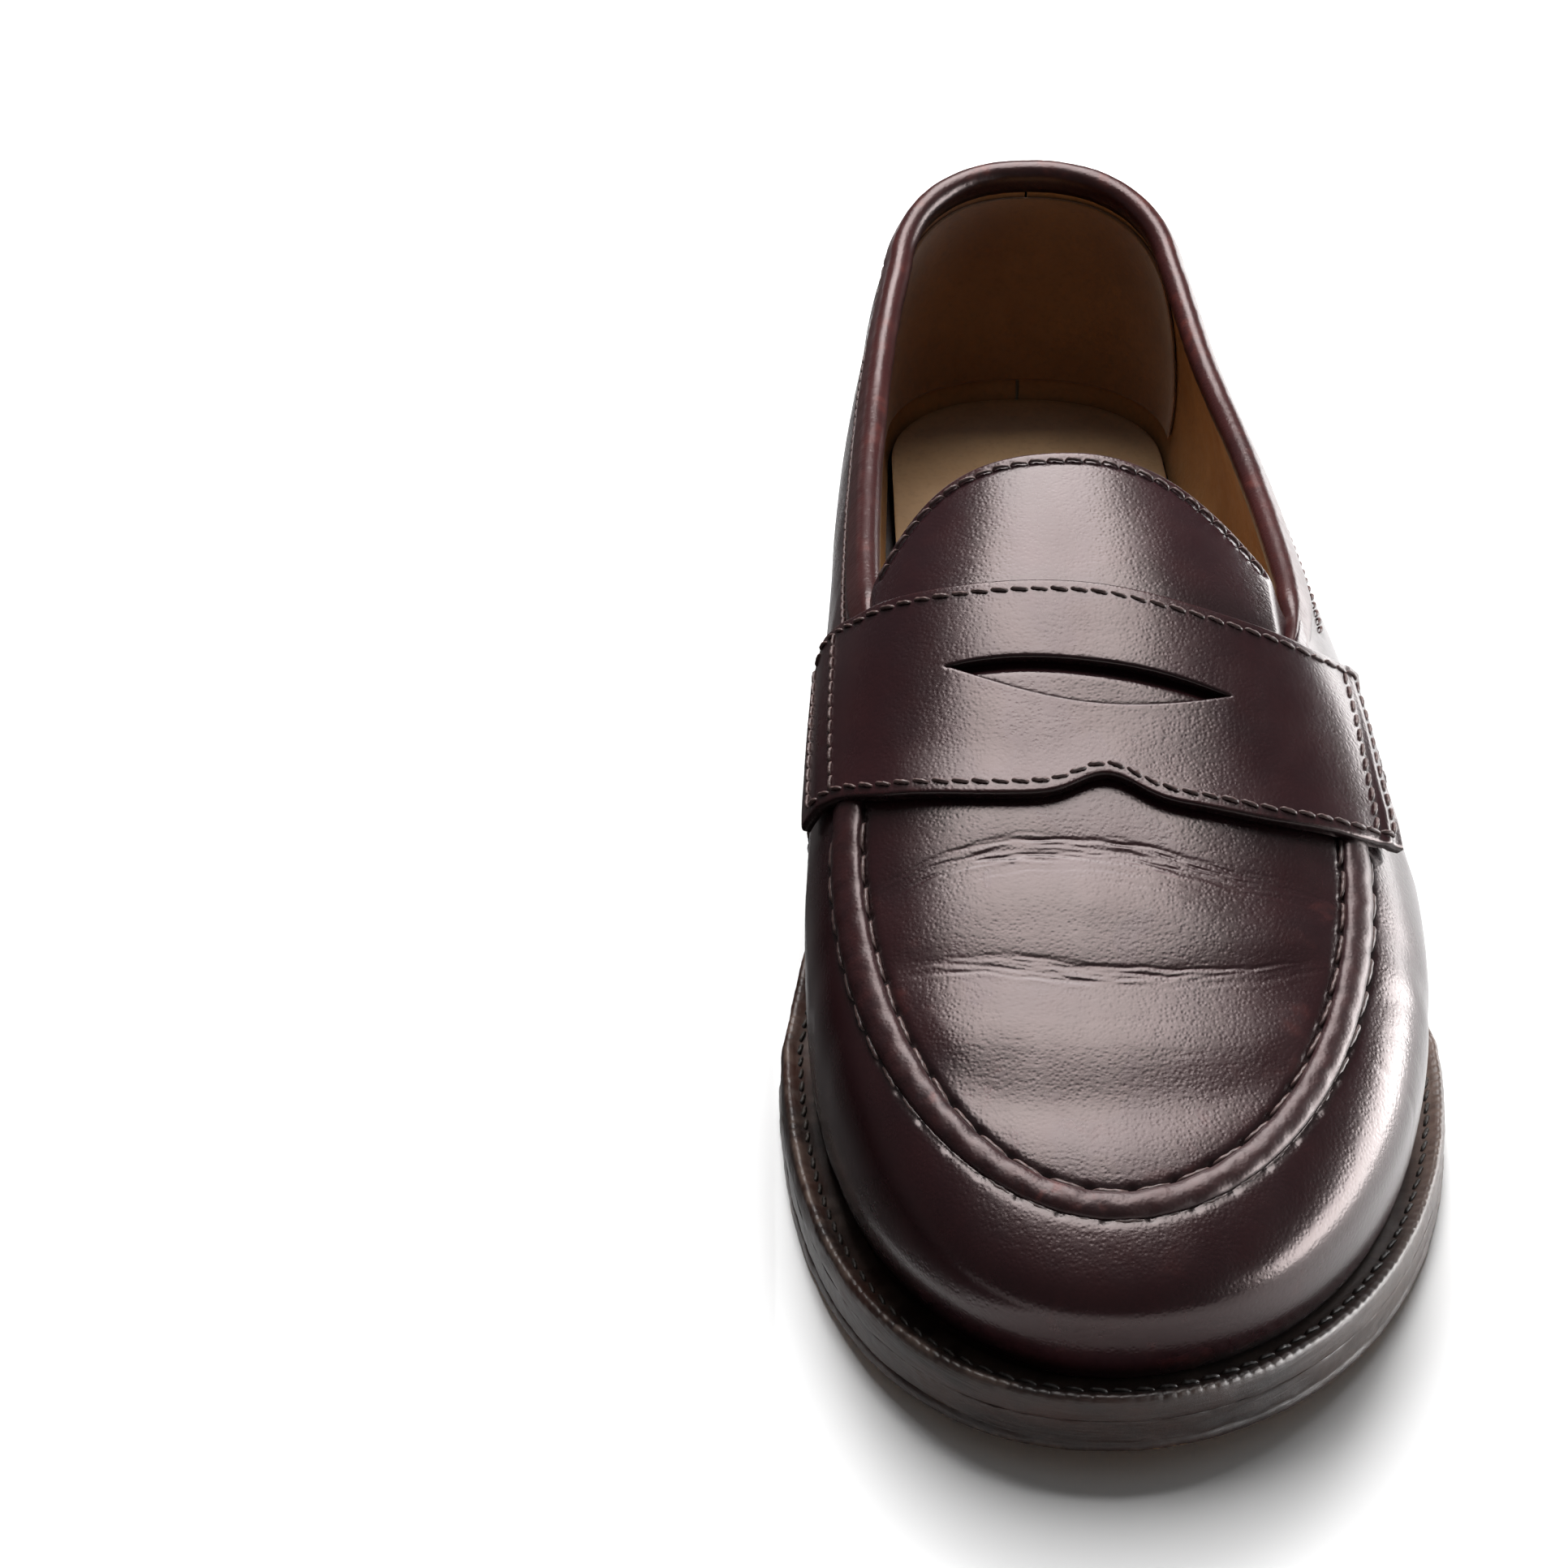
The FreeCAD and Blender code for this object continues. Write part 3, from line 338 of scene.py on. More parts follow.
def around(first, turn, last, count):
    """side and q from first on the inner side, by way of the heel's back or the toe, to last on the outer."""
    inner, outer = even_q(first, turn, count), even_q(turn, last, count)[1:]
    side = np.concatenate([np.full(len(inner), MEDIAL), np.full(len(outer), LATERAL)])
    return side, np.concatenate([inner, outer])


# ---------------------------------------------------------------- noise and dents
def field(points, scale, seed=0.0, octaves=3):
    """Smooth noise from -1 to 1 at points in millimetres."""
    flat = np.asarray(points).reshape(-1, 3) / scale + seed * 7.31
    values = [noise.fractal(Vector(p), 1.0, 2.0, octaves) for p in flat]
    return np.array(values).reshape(np.asarray(points).shape[:-1])


def distances(points, targets):
    """Distance from each point to the nearest target."""
    tree = KDTree(len(targets))
    for i, target in enumerate(targets):
        tree.insert(target, i)
    tree.balance()
    flat = np.asarray(points).reshape(-1, 3)
    return np.array([tree.find(p)[2] for p in flat]).reshape(np.asarray(points).shape[:-1])


def stitch_dent(points, rows, width=0.9, depth=0.22, hole_depth=0.3):
    """How far threads pull the leather down, along their rows and at their holes."""
    line = distances(points, np.concatenate([row["line"] for row in rows]))
    holes = distances(points, np.concatenate([row["holes"] for row in rows]))
    return -depth * bell(line, width) - hole_depth * bell(holes, 0.75 * width)


# ---------------------------------------------------------------- meshes
def new_piece(name, points, faces, slot, replaces=None, marks=None, sharp=50, look=None):
    """A mesh object that rides on the shoe. It stands for the CAD node of its own name, unless replaces differs,
    and has its slot's look unless it has its own. marks are numbers on its points."""
    mesh = bpy.data.meshes.new(name)
    mesh.from_pydata((np.asarray(points, float) * MM).tolist(), [], faces)
    for mark, values in (marks or {}).items():
        mesh.attributes.new(mark, "FLOAT", "POINT").data.foreach_set(
            "value", np.asarray(values, np.float32).ravel(),
        )
    work = bmesh.new()
    work.from_mesh(mesh)
    bmesh.ops.remove_doubles(work, verts=work.verts, dist=2e-6)
    bmesh.ops.delete(work, geom=[v for v in work.verts if not v.link_faces], context="VERTS")
    bmesh.ops.recalc_face_normals(work, faces=work.faces)
    work.to_mesh(mesh)
    work.free()
    mesh.polygons.foreach_set("use_smooth", [True] * len(mesh.polygons))
    mesh.set_sharp_from_angle(angle=math.radians(sharp))
    piece = bpy.data.objects.new(name, mesh)
    bpy.context.scene.collection.objects.link(piece)
    mesh.materials.append(look or looks[slot])
    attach(piece, "root")
    nodes = [name] if replaces is None else replaces
    if nodes:
        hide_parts(*nodes)
    return piece


def grid_faces(rows, columns, wrap=False):
    faces = []
    for i in range(rows - 1):
        for j in range(columns if wrap else columns - 1):
            a, b = i * columns + j, i * columns + (j + 1) % columns
            faces.append((a, b, b + columns, a + columns))
    return faces


def rim_edges(faces):
    """The edges that only one face has."""
    edges = {(a, b) for face in faces for a, b in zip(face, face[1:] + face[:1])}
    return [(a, b) for a, b in edges if (b, a) not in edges]


def rounded(distance, radius):
    """1 in the middle of a sheet, falling in a quarter circle at its cut edge."""
    t = np.clip(distance / radius, 0, 1)
    return np.sqrt(np.clip(1 - (1 - t) ** 2, 0, 1))


def panel(name, grid, out, thickness, slot, lift=0.0, dent=0.0, radius=0.6, look=None, **marks):
    """A sheet of leather with rounded cut edges. grid is place(offset), which gives its points at heights above
    the last, and its faces. lift moves both faces and dent only the outer one."""
    place, faces = grid
    base = place(0.0)
    flat = base.reshape(-1, 3)
    count = len(flat)
    rim = rim_edges(faces)
    used = sorted({a for edge in rim for a in edge})
    fall = radius * (1 - rounded(distances(base, flat[used]), radius))
    outer = place(out + lift + dent - fall).reshape(-1, 3)
    inner = place(out + lift - thickness + 0.4 * fall).reshape(-1, 3)
    sides = [(b, a, a + count, b + count) for a, b in rim]
    all_faces = list(faces) + [tuple(v + count for v in face[::-1]) for face in faces] + sides
    both = {mark: np.tile(np.ravel(values), 2) for mark, values in marks.items()}
    return new_piece(name, np.concatenate([outer, inner]), all_faces, slot, marks=both, look=look)


def close_marks(count, length, radius=0.7):
    """Shares from 0 to 1 that crowd together at both cut edges."""
    near = np.array([0.0, 0.12, 0.35, 0.7, 1.1]) * radius / length
    return np.concatenate([near, np.linspace(near[-1], 1 - near[-1], count)[1:-1], 1 - near[::-1]])


def wall_grid(side, q, low, high, marks):
    """A grid on the wall: place(offset) and its faces."""
    g = even_rows(side, q, low, high, marks)
    sides, qs = side[:, None] + 0 * g, q[:, None] + 0 * g
    return lambda offset: path_on_wall(sides, qs, g, 0 * g + offset)[0], grid_faces(*g.shape)


def crown_grid(x, station):
    return lambda offset: crown(x, station, 0 * x + offset), grid_faces(*x.shape)


def loft(rings, closed_loop=False):
    """Points and faces through closed rings of points."""
    rings = np.array(rings)
    if closed_loop:
        rings = np.concatenate([rings, rings[:1]])
    count, around_ring = rings.shape[:2]
    return rings.reshape(-1, 3), grid_faces(count, around_ring, wrap=True)


# ---------------------------------------------------------------- rows of stitches
def lay_row(path, normals, pitch, offset=0.0):
    """Stitch holes and a fine line along a path."""
    gaps = np.linalg.norm(np.diff(path, axis=0), axis=1)
    length = np.concatenate([[0], np.cumsum(gaps)])
    count = max(1, int(round((length[-1] - offset) / pitch)))
    marks = np.linspace(offset, length[-1], count + 1)

    def at(values, places):
        return np.stack([np.interp(places, length, values[:, k]) for k in range(3)], -1)

    fine = np.linspace(0, length[-1], int(length[-1] / 0.5) + 2)
    return {
        "marks": marks,
        "at": lambda places: (at(path, places), unit(at(normals, places))),
        "line": at(path, fine),
        "holes": at(path, marks),
    }


def stitches(name, rows, radius, seed, slot="thread", replaces=None, lift=0.24, fill=1.02, slant=0.16):
    """Each stitch is a twisted two-ply thread that rises out of one hole and dips into the next."""
    random = np.random.default_rng(seed)
    points, faces = [], []
    ply_points, along = 8, 11
    for row in rows:
        for first, last in zip(row["marks"], row["marks"][1:]):
            t = np.linspace(0, 1, along)
            reach = (last - first) * fill
            places = first + (last - first - reach) / 2 + t * reach
            centre, normal = row["at"](places)
            tangent = unit(np.gradient(centre, axis=0))
            across = np.cross(tangent, normal)
            tilt = (slant + random.uniform(-0.04, 0.04)) * (last - first)
            wobble = random.uniform(0.85, 1.1)
            rise = lift * wobble + radius * 0.35 - (lift + radius * 1.5) * (np.abs(2 * t - 1) ** 5)
            centre = centre + normal * rise[:, None] + across * ((t - 0.5) * tilt)[:, None]
            thick = radius * wobble * (1 - 0.45 * np.abs(2 * t - 1) ** 4)
            start = len(points)
            for k in range(along):
                for a in range(ply_points):
                    angle = 2 * math.pi * a / ply_points
                    twist = 1 + 0.13 * math.cos(2 * (angle - 9.0 * t[k]))
                    ring = across[k] * math.cos(angle) + normal[k] * math.sin(angle)
                    points.append(centre[k] + ring * thick[k] * twist)
            for k in range(along - 1):
                for a in range(ply_points):
                    b = (a + 1) % ply_points
                    p = start + k * ply_points
                    faces.append((p + a, p + b, p + ply_points + b, p + ply_points + a))
            faces.append(tuple(start + a for a in range(ply_points))[::-1])
            faces.append(tuple(start + (along - 1) * ply_points + a for a in range(ply_points)))
    return new_piece(name, np.array(points), faces, slot, replaces)


# ---------------------------------------------------------------- materials
class Finish:
    """A material whose colour, roughness and relief come from procedural textures."""

    def __init__(self, name, **sockets):
        self.material = bpy.data.materials.new(name)
        self.material.use_nodes = True
        self.tree = self.material.node_tree
        self.shader = self.tree.nodes["Principled BSDF"]
        self.place = self.add("ShaderNodeTexCoord").outputs["Object"]
        for socket, value in sockets.items():
            self.shader.inputs[socket.replace("_", " ")].default_value = value

    def add(self, kind, inputs=None, **settings):
        made = self.tree.nodes.new(kind)
        for setting, value in settings.items():
            setattr(made, setting, value)
        for socket, value in (inputs or {}).items():
            if isinstance(value, bpy.types.NodeSocket):
                self.tree.links.new(value, made.inputs[socket])
            else:
                made.inputs[socket].default_value = value
        return made

    def stretch(self, x, y, z):
        return self.add("ShaderNodeMapping", {"Vector": self.place, "Scale": (x, y, z)}).outputs[0]

    def noise(self, size_mm, detail=3.0, vector=None, rough=0.55, distort=0.0):
        inputs = {"Vector": vector or self.place, "Scale": 1000.0 / size_mm, "Detail": detail}
        inputs.update({"Roughness": rough, "Distortion": distort})
        return self.add("ShaderNodeTexNoise", inputs).outputs[0]

    def cells(self, size_mm):
        inputs = {"Vector": self.place, "Scale": 1000.0 / size_mm}
        return self.add("ShaderNodeTexVoronoi", inputs).outputs["Distance"]

    def mark(self, name):
        return self.add("ShaderNodeAttribute", attribute_name=name).outputs["Fac"]

    def spread(self, value, low, high, to_low=0.0, to_high=1.0):
        inputs = {"Value": value, "From Min": low, "From Max": high, "To Min": to_low, "To Max": to_high}
        return self.add("ShaderNodeMapRange", inputs).outputs[0]

    def math(self, operation, a, b=0.0):
        return self.add("ShaderNodeMath", {0: a, 1: b}, operation=operation).outputs[0]

    def mix(self, factor, a, b):
        made = self.add("ShaderNodeMix", data_type="RGBA")
        for index, value in ((0, factor), (6, a), (7, b)):
            if isinstance(value, bpy.types.NodeSocket):
                self.tree.links.new(value, made.inputs[index])
            else:
                made.inputs[index].default_value = value if index == 0 else (*value, 1.0)
        return made.outputs[2]

    def colour(self, socket):
        self.tree.links.new(socket, self.shader.inputs["Base Color"])

    def rough(self, socket):
        self.tree.links.new(socket, self.shader.inputs["Roughness"])

    def relief(self, *layers):
        """Bump layers, each a height socket and its depth in millimetres."""
        normal = None
        for height, depth in layers:
            inputs = {"Height": height, "Distance": depth * MM, "Strength": 1.0}
            if normal is not None:
                inputs["Normal"] = normal
            normal = self.add("ShaderNodeBump", inputs).outputs[0]
        self.tree.links.new(normal, self.shader.inputs["Normal"])


def oxblood(name, dark, middle, red, gloss=0.24):
    """Polished calf: burgundy that darkens in patches and reddens where it is rubbed, with fine pores under wax."""
    made = Finish(
        name, Coat_Weight=0.08, Coat_Roughness=0.25, Coat_IOR=1.4, IOR=1.5,
        Specular_Tint=(1.0, 0.84, 0.82, 1.0),
    )
    tone = made.mix(made.spread(made.noise(38.0, 4.0, rough=0.6), 0.3, 0.75), dark, middle)
    tone = made.mix(made.spread(made.noise(6.0, 5.0), 0.4, 0.9, 0.0, 0.2), tone, red)
    rubbed = made.math("MULTIPLY", made.mark("wear"), made.spread(made.noise(2.2, 4.0), 0.35, 0.75))
    tone = made.mix(rubbed, tone, (red[0] * 2.6, red[1] * 2.4, red[2] * 2.0))
    # The dark mark darkens towards near black: painted shade on the upper's pieces, and the strap's own inked
    # edges.
    tone = made.mix(made.math("MULTIPLY", made.mark("dark"), 0.8), tone, (0.004, 0.0025, 0.0025))
    made.colour(tone)
    rough = made.spread(
        made.noise(9.0, 5.0, made.stretch(1.0, 0.45, 1.0)), 0.3, 0.7, gloss - 0.02, gloss + 0.05,
    )
    made.rough(made.math("ADD", rough, made.math("MULTIPLY", made.mark("wear"), 0.12)))
    wrinkle = made.noise(1.3, 4.0, made.stretch(1.0, 1.7, 1.0))
    made.relief(
        (made.noise(7.0, 2.0), 0.03), (wrinkle, 0.034), (made.spread(made.cells(0.75), 0.0, 0.55), 0.024),
    )
    return made.material


def soft_leather(name, pale, deep, gloss=0.5, nap=0.0):
    """Undyed leather or suede."""
    made = Finish(name, Sheen_Weight=nap, Sheen_Roughness=0.5, IOR=1.45)
    tone = made.mix(made.spread(made.noise(22.0, 4.0), 0.35, 0.68), pale, deep)
    tone = made.mix(
        made.spread(made.noise(1.2, 4.0), 0.5, 0.8, 0.0, 0.35), tone, tuple(0.55 * c for c in deep),
    )
    # The dark mark is painted shade low inside the shoe, on the quarters' linings.
    made.colour(made.mix(made.math("MULTIPLY", made.mark("dark"), 0.6), tone, tuple(0.3 * c for c in deep)))
    made.rough(made.spread(made.noise(5.0, 4.0), 0.3, 0.7, gloss - 0.06, gloss + 0.1))
    made.relief(
        (made.noise(5.0, 3.0), 0.12), (made.noise(0.9, 5.0, distort=0.5), 0.05), (made.cells(0.9), 0.02),
    )
    return made.material


def fibre(name, pale, deep, ribs=0.35, gloss=0.6):
    """Woven or fibrous stuff: two crossed sets of fine ribs."""
    made = Finish(name, IOR=1.45)
    inputs = {"Vector": made.place, "Scale": 1000.0 / (ribs * 20), "Distortion": 1.5}
    ribbed = [made.add("ShaderNodeTexWave", inputs, bands_direction=axis).outputs["Fac"] for axis in "XY"]
    weave = made.math("MULTIPLY", *ribbed)
    tone = made.mix(made.spread(made.noise(3.0, 4.0), 0.35, 0.7), pale, deep)
    # The colour darkens in the weave's low places: painted shade in its grooves.
    made.colour(made.mix(made.spread(weave, 0.0, 1.0, 0.45, 0.0), tone, tuple(0.5 * c for c in deep)))
    made.rough(made.spread(made.noise(2.0), 0.3, 0.7, gloss - 0.08, gloss + 0.08))
    made.relief((weave, 0.08), (made.noise(0.5, 4.0), 0.04))
    return made.material


def edge_leather(name, dark, pale, red, gloss):
    """Inked and burnished sole leather: level streaks of packed fibre, scuffs and a dusty wear."""
    made = Finish(name, Coat_Weight=0.12, Coat_Roughness=0.35, IOR=1.48)
    streaks = made.noise(0.55, 6.0, made.stretch(0.05, 0.05, 1.0), rough=0.65)
    patches = made.noise(16.0, 5.0, made.stretch(1.0, 1.0, 2.5), rough=0.62)
    tone = made.mix(made.spread(patches, 0.36, 0.66), dark, red)
    tone = made.mix(made.spread(streaks, 0.48, 0.78, 0.0, 0.45), tone, pale)
    scuff = made.spread(made.noise(3.5, 8.0, made.stretch(0.5, 0.5, 1.6), rough=0.75), 0.56, 0.7, 0.0, 0.5)
    tone = made.mix(scuff, tone, pale)
    tone = made.mix(made.mark("wear"), tone, tuple(2.2 * c for c in pale))
    # The dark mark is painted shade on the welt, under the upper's edge and against the outsole, and darkens the
    # heel lifts' eased edges.
    made.colour(made.mix(made.mark("dark"), tone, (0.006, 0.004, 0.0035)))
    made.rough(made.spread(scuff, 0.0, 0.6, gloss, gloss + 0.25))
    made.relief((patches, 0.10), (streaks, 0.10), (made.noise(0.45, 5.0, rough=0.7), 0.05))
    return made.material


def worn_bottom(name):
    """The sole's flesh side underfoot: natural leather that is darkened and scored by walking."""
    made = Finish(name, IOR=1.45)
    tone = made.mix(made.spread(made.noise(30.0, 5.0), 0.35, 0.65), (0.33, 0.19, 0.10), (0.20, 0.115, 0.062))
    grime = made.spread(made.noise(4.0, 9.0, rough=0.75), 0.5, 0.72, 0.0, 0.7)
    made.colour(made.mix(grime, tone, (0.075, 0.05, 0.035)))
    made.rough(made.spread(grime, 0.0, 0.7, 0.55, 0.8))
    scores = made.noise(1.2, 5.0, made.stretch(1.0, 0.12, 1.0), rough=0.7)
    made.relief((made.noise(6.0, 4.0), 0.12), (scores, 0.08))
    return made.material


def simple(name, pale, deep, size_mm, gloss, metal=0.0, depth=0.03):
    """One stuff in two tones with a fine relief."""
    made = Finish(name, Metallic=metal)
    made.colour(made.mix(made.spread(made.noise(size_mm, 5.0), 0.35, 0.68), pale, deep))
    made.rough(made.spread(made.noise(size_mm * 0.4, 4.0), 0.3, 0.7, gloss - 0.07, gloss + 0.1))
    made.relief((made.noise(size_mm * 0.3, 5.0), depth))
    return made.material


BURGUNDY = ((0.016, 0.0055, 0.0075), (0.029, 0.0080, 0.0100), (0.055, 0.0110, 0.0100))
INKED = ((0.019, 0.0098, 0.0077), (0.080, 0.055, 0.044), (0.050, 0.0190, 0.0125))
LOOKS = {
    "upper_leather": (oxblood, *BURGUNDY),
    "rolled_leather": (oxblood, *BURGUNDY, 0.36),
    "binding_leather": (
        oxblood, (0.026, 0.0075, 0.0080), (0.052, 0.0125, 0.0125), (0.080, 0.0170, 0.0130), 0.3,
    ),
    "lining_leather": (soft_leather, (0.50, 0.27, 0.115), (0.38, 0.185, 0.07)),
    "suede": (soft_leather, (0.36, 0.18, 0.075), (0.27, 0.125, 0.05), 0.85, 0.6),
    "insole_leather": (soft_leather, (0.44, 0.27, 0.13), (0.33, 0.19, 0.085), 0.6),
    "thread": (fibre, (0.16, 0.10, 0.092), (0.095, 0.056, 0.052), 0.25, 0.4),
    "welt_thread": (fibre, (0.050, 0.036, 0.028), (0.025, 0.018, 0.014), 0.25, 0.55),
    "canvas": (fibre, (0.55, 0.48, 0.38), (0.42, 0.36, 0.28)),
    "stiffener": (fibre, (0.50, 0.42, 0.30), (0.40, 0.32, 0.22), 0.6, 0.75),
    "sole_leather": (edge_leather, *INKED, 0.38),
    "welt_leather": (edge_leather, *INKED, 0.38),
    "heel_leather": (edge_leather, (0.014, 0.009, 0.008), (0.060, 0.044, 0.036), (0.034, 0.014, 0.011), 0.34),
    "sole_bottom": (worn_bottom,),
    "rubber": (simple, (0.016, 0.015, 0.015), (0.030, 0.028, 0.027), 5.0, 0.6, 0.0, 0.08),
    "cork": (simple, (0.45, 0.29, 0.16), (0.25, 0.14, 0.07), 1.6, 0.8, 0.0, 0.15),
    "steel": (simple, (0.55, 0.55, 0.56), (0.42, 0.42, 0.44), 8.0, 0.3, 1.0),
    "brass": (simple, (0.62, 0.44, 0.17), (0.40, 0.27, 0.10), 3.0, 0.35, 1.0),
}
looks = {name: make(name, *values) for name, (make, *values) in LOOKS.items()}


# ---------------------------------------------------------------- rows of stitches, which also dent the leather
def seam_line(widen):
    """A path a little below the seam's face, beside the seam by widen."""
    side, q = around(side_q(203.0), TOE, side_q(212.0), 220)
    return path_on_wall(side, q, seam_g(side, q, widen), -0.2)


def strap_x(u, station):
    """x of the strap's thread u across the foot, from -1 at the inner end to 1 at the outer end."""
    side = np.sign(u)
    toe_share = np.clip((station - BALL) / (ENDS["body"][1] - BALL), 0, 1)
    power = toe_exponent("body", side)
    ahead_of_ball = half_at("body", side, -1) * (1 - toe_share**power) ** (1 / power)
    half = np.where(station > BALL, ahead_of_ball, half_along("body", side, station))
    ahead = (station - 168.0) / 36.0
    lowest = pick(side, 53.0 - 3.0 * ahead, 61.5 - 9.5 * ahead)

    def below(share):
        return lowest - crown_height(side * half * share, station)

    end = solve(below, np.full_like(half, 0.5), np.full_like(half, 0.984))
    return side * half * end * np.cos(np.radians(90 * (1 - np.abs(u)))) ** 0.8


def strap_edges(u):
    """The strap's back and front stations at each u, with the notch in its front edge."""
    x = strap_x(u, np.full_like(u, 190.0))
    return strap_back(x), strap_front(x) - 4.0 * bell(x - 2.9, 6.5)


def slit_lips(x):
    """The stations of the slit's back and front lips, and how far it is open from 0 to 1."""
    share = np.clip((x - SLIT_START) / SLIT_LENGTH, 0, 1)
    chord, bow = 184.0 + 5.5 * share, 4 * share * (1 - share)
    return chord - 1.85 * bow, chord + 5.05 * bow, bow


def strap_lift(u, v):
    """The strap stands off the apron along its front edge, and its lower corners curl up."""
    front = 0.3 * ease(v, 0.75, 1.0) * (1 - ease(np.abs(u), 0.6, 0.8))
    outer_corner = 1.1 * ease(u, 0.66, 1.0) * ease(v, 0.5, 1.0)
    inner_corner = 0.5 * ease(-u, 0.66, 1.0) * ease(v, 0.6, 1.0)
    ridge = 0.42 * bell(u - 0.785, 0.036) + 0.25 * bell(u + 0.77, 0.045)
    nub = 0.9 * bell(u - 0.88, 0.09) * bell(v, 0.07)
    return front + outer_corner + inner_corner + ridge + nub


def strap_place(u, v):
    back, front = strap_edges(u)
    station = back + v * (front - back)
    return strap_x(u, station), station


def strap_row(u, v):
    u, v = np.broadcast_arrays(np.asarray(u, float), np.asarray(v, float))
    return lay_row(*path_on_crown(*strap_place(u, v), STRAP_OUT + strap_lift(u, v) - 0.12), 3.3)


def tongue_edge(x):
    return 138.4 + 18.5 * (np.abs(x) / 35.4) ** np.where(x < 0, 4.0, 2.2)


apron_rows_out = [lay_row(*seam_line(2.5), 6.9)]
apron_rows_in = [lay_row(*seam_line(-2.45), 6.7, offset=2.0)]
across = np.linspace(-0.84, 0.84, 240)
along = np.linspace(0.06, 0.94, 90)
strap_rows_back = [strap_row(across, 0.055)]
strap_rows_front = [strap_row(across, 0.945)]
strap_rows_ends = [strap_row(u, along) for u in (-0.85, -0.69, 0.72, 0.847)]
tongue_x = np.linspace(-33.0, 33.0, 160)
tongue_rows = [lay_row(*path_on_crown(tongue_x, tongue_edge(tongue_x) + 2.3, -0.08), 3.2)]
topline_rows, seat_rows, backstay_rows = [], [], []
for side in (MEDIAL, LATERAL):
    q = even_q(0.16, side_q(158.0), 200)
    topline_rows.append(lay_row(*path_on_wall(side, q, topline_g(np.full_like(q, side), q, 5.2), -0.08), 3.0))
    g = np.linspace(-0.93, 0.26, 120)
    for station in SEAT_STATIONS:
        seat_rows.append(lay_row(*path_on_wall(side, np.full_like(g, side_q(station)), g, 0.22), 3.2))
    g = np.linspace(-0.95, float(topline_g(np.array([side]), np.array([0.1]), 6.5)[0]), 120)
    backstay_rows.append(lay_row(*path_on_wall(side, np.full_like(g, 0.105), g, 1.25), 3.0))


# ---------------------------------------------------------------- dents that wearing has made
def wrinkles(x, station, line, spread, count, depth, reach, seed):
    """A bundle of fine creases along a line across the apron, each with a soft lip beside it."""
    random = np.random.default_rng(seed)
    total = np.zeros_like(x)
    for _ in range(count):
        middle = random.uniform(-reach, reach) * 0.8
        length = random.uniform(5.0, 17.0)
        shift = random.uniform(-spread, spread)
        tilt = random.uniform(-0.05, 0.05)
        slow, quick = random.uniform(0.15, 0.3), random.uniform(0.5, 0.9)
        wave = 0.26 * np.sin(x * slow + random.uniform(0, 6.3)) + 0.16 * np.sin(x * quick + random.uniform(
            0, 6.3,
        ))
        off = station - (line(x) + shift + tilt * (x - middle) + wave)
        strength = random.uniform(0.45, 1.0) * depth * np.exp(-(((x - middle) / length) ** 4))
        total += strength * (0.5 * bell(off - 0.6, 0.4) - bell(off, 0.27))
    return total


flex_back = smooth_curve(((-38, 222.5), (-24, 218.6), (-12, 217.0), (4, 217.8), (24, 222.3), (40, 223.0)))
flex_front = smooth_curve(((-38, 235.5), (-16, 237.6), (3, 240.0), (22, 238.6), (40, 233.5)))
# Each bundle of creases: the line it follows, how far ahead of it, then spread, count, depth, reach and seed.
CREASES = (
    (flex_back, 0.0, 2.1, 74, 0.046, 34.0, 3), (flex_front, 0.0, 1.9, 62, 0.040, 35.0, 8),
    (flex_back, 4.0, 2.0, 7, 0.03, 26.0, 11), (flex_front, 12.0, 4.0, 6, 0.025, 22.0, 14),
)


def apron_dent(x, station):
    """Two bundles of creases where the foot bends, and the soft swells between and ahead of them."""
    inside = 1 - ease(seam_reach(x, station), 0.82, 0.98)
    back, front = station - flex_back(x), station - flex_front(x)
    fine = sum(wrinkles(x, station - ahead, line, *values) for line, ahead, *values in CREASES)
    soft = -0.26 * bell(back, 3.6) - 0.24 * bell(front, 3.4) + 0.3 * bell(back - 9.0, 5.5)
    soft += 0.3 * bell(front - 12.0, 5.0) - 0.3 * bell(station - 263.0 + 0.1 * np.abs(x), 4.6)
    soft += 0.5 * bell(station - 275.0, 7.0)
    return inside * (fine + soft)


def vamp_dent(points):
    """Creases that run down the vamp's outer side from the apron's, and shallow hollows on its inner side."""
    x, station = points[..., 0], HEEL - points[..., 1]
    outer, inner = ease(x, 38.0, 46.0), ease(-x, 34.0, 42.0)
    total = np.zeros_like(x)
    for start, slope, depth, width in (
        (249.6, -0.1, 0.10, 0.7), (243.0, -0.35, 0.04, 0.8), (237.5, -0.55, 0.10, 2.2),
    ):
        place = start + slope * (x - 44.0) + 0.5 * np.sin(x * 0.9 + start)
        total -= depth * outer * bell(station - place, width) * (1 - ease(x, 51.0, 56.0))
    total -= 0.22 * outer * bell(station - 222.5 - 0.25 * (x - 45.0), 4.5)
    total += 0.15 * outer * bell(station - 231.0, 5.0)
    total += 0.6 * ease(station, 236.0, 262.0) * bell(distances(points, apron_rows_out[0]["line"]), 8.0)
    return total - inner * (0.18 * bell(station - 239.0, 4.5) + 0.2 * bell(station - 224.0, 4.5))


# ---------------------------------------------------------------- the upper
girth_marks = close_marks(70, 60.0)


def foot_shade(points):
    """1 where the wall meets the welt, falling to 0 a few millimetres above it."""
    return ease(points[..., 2] - tread(HEEL - points[..., 1]) - SOLE_STACK, 5.0, 0.0)


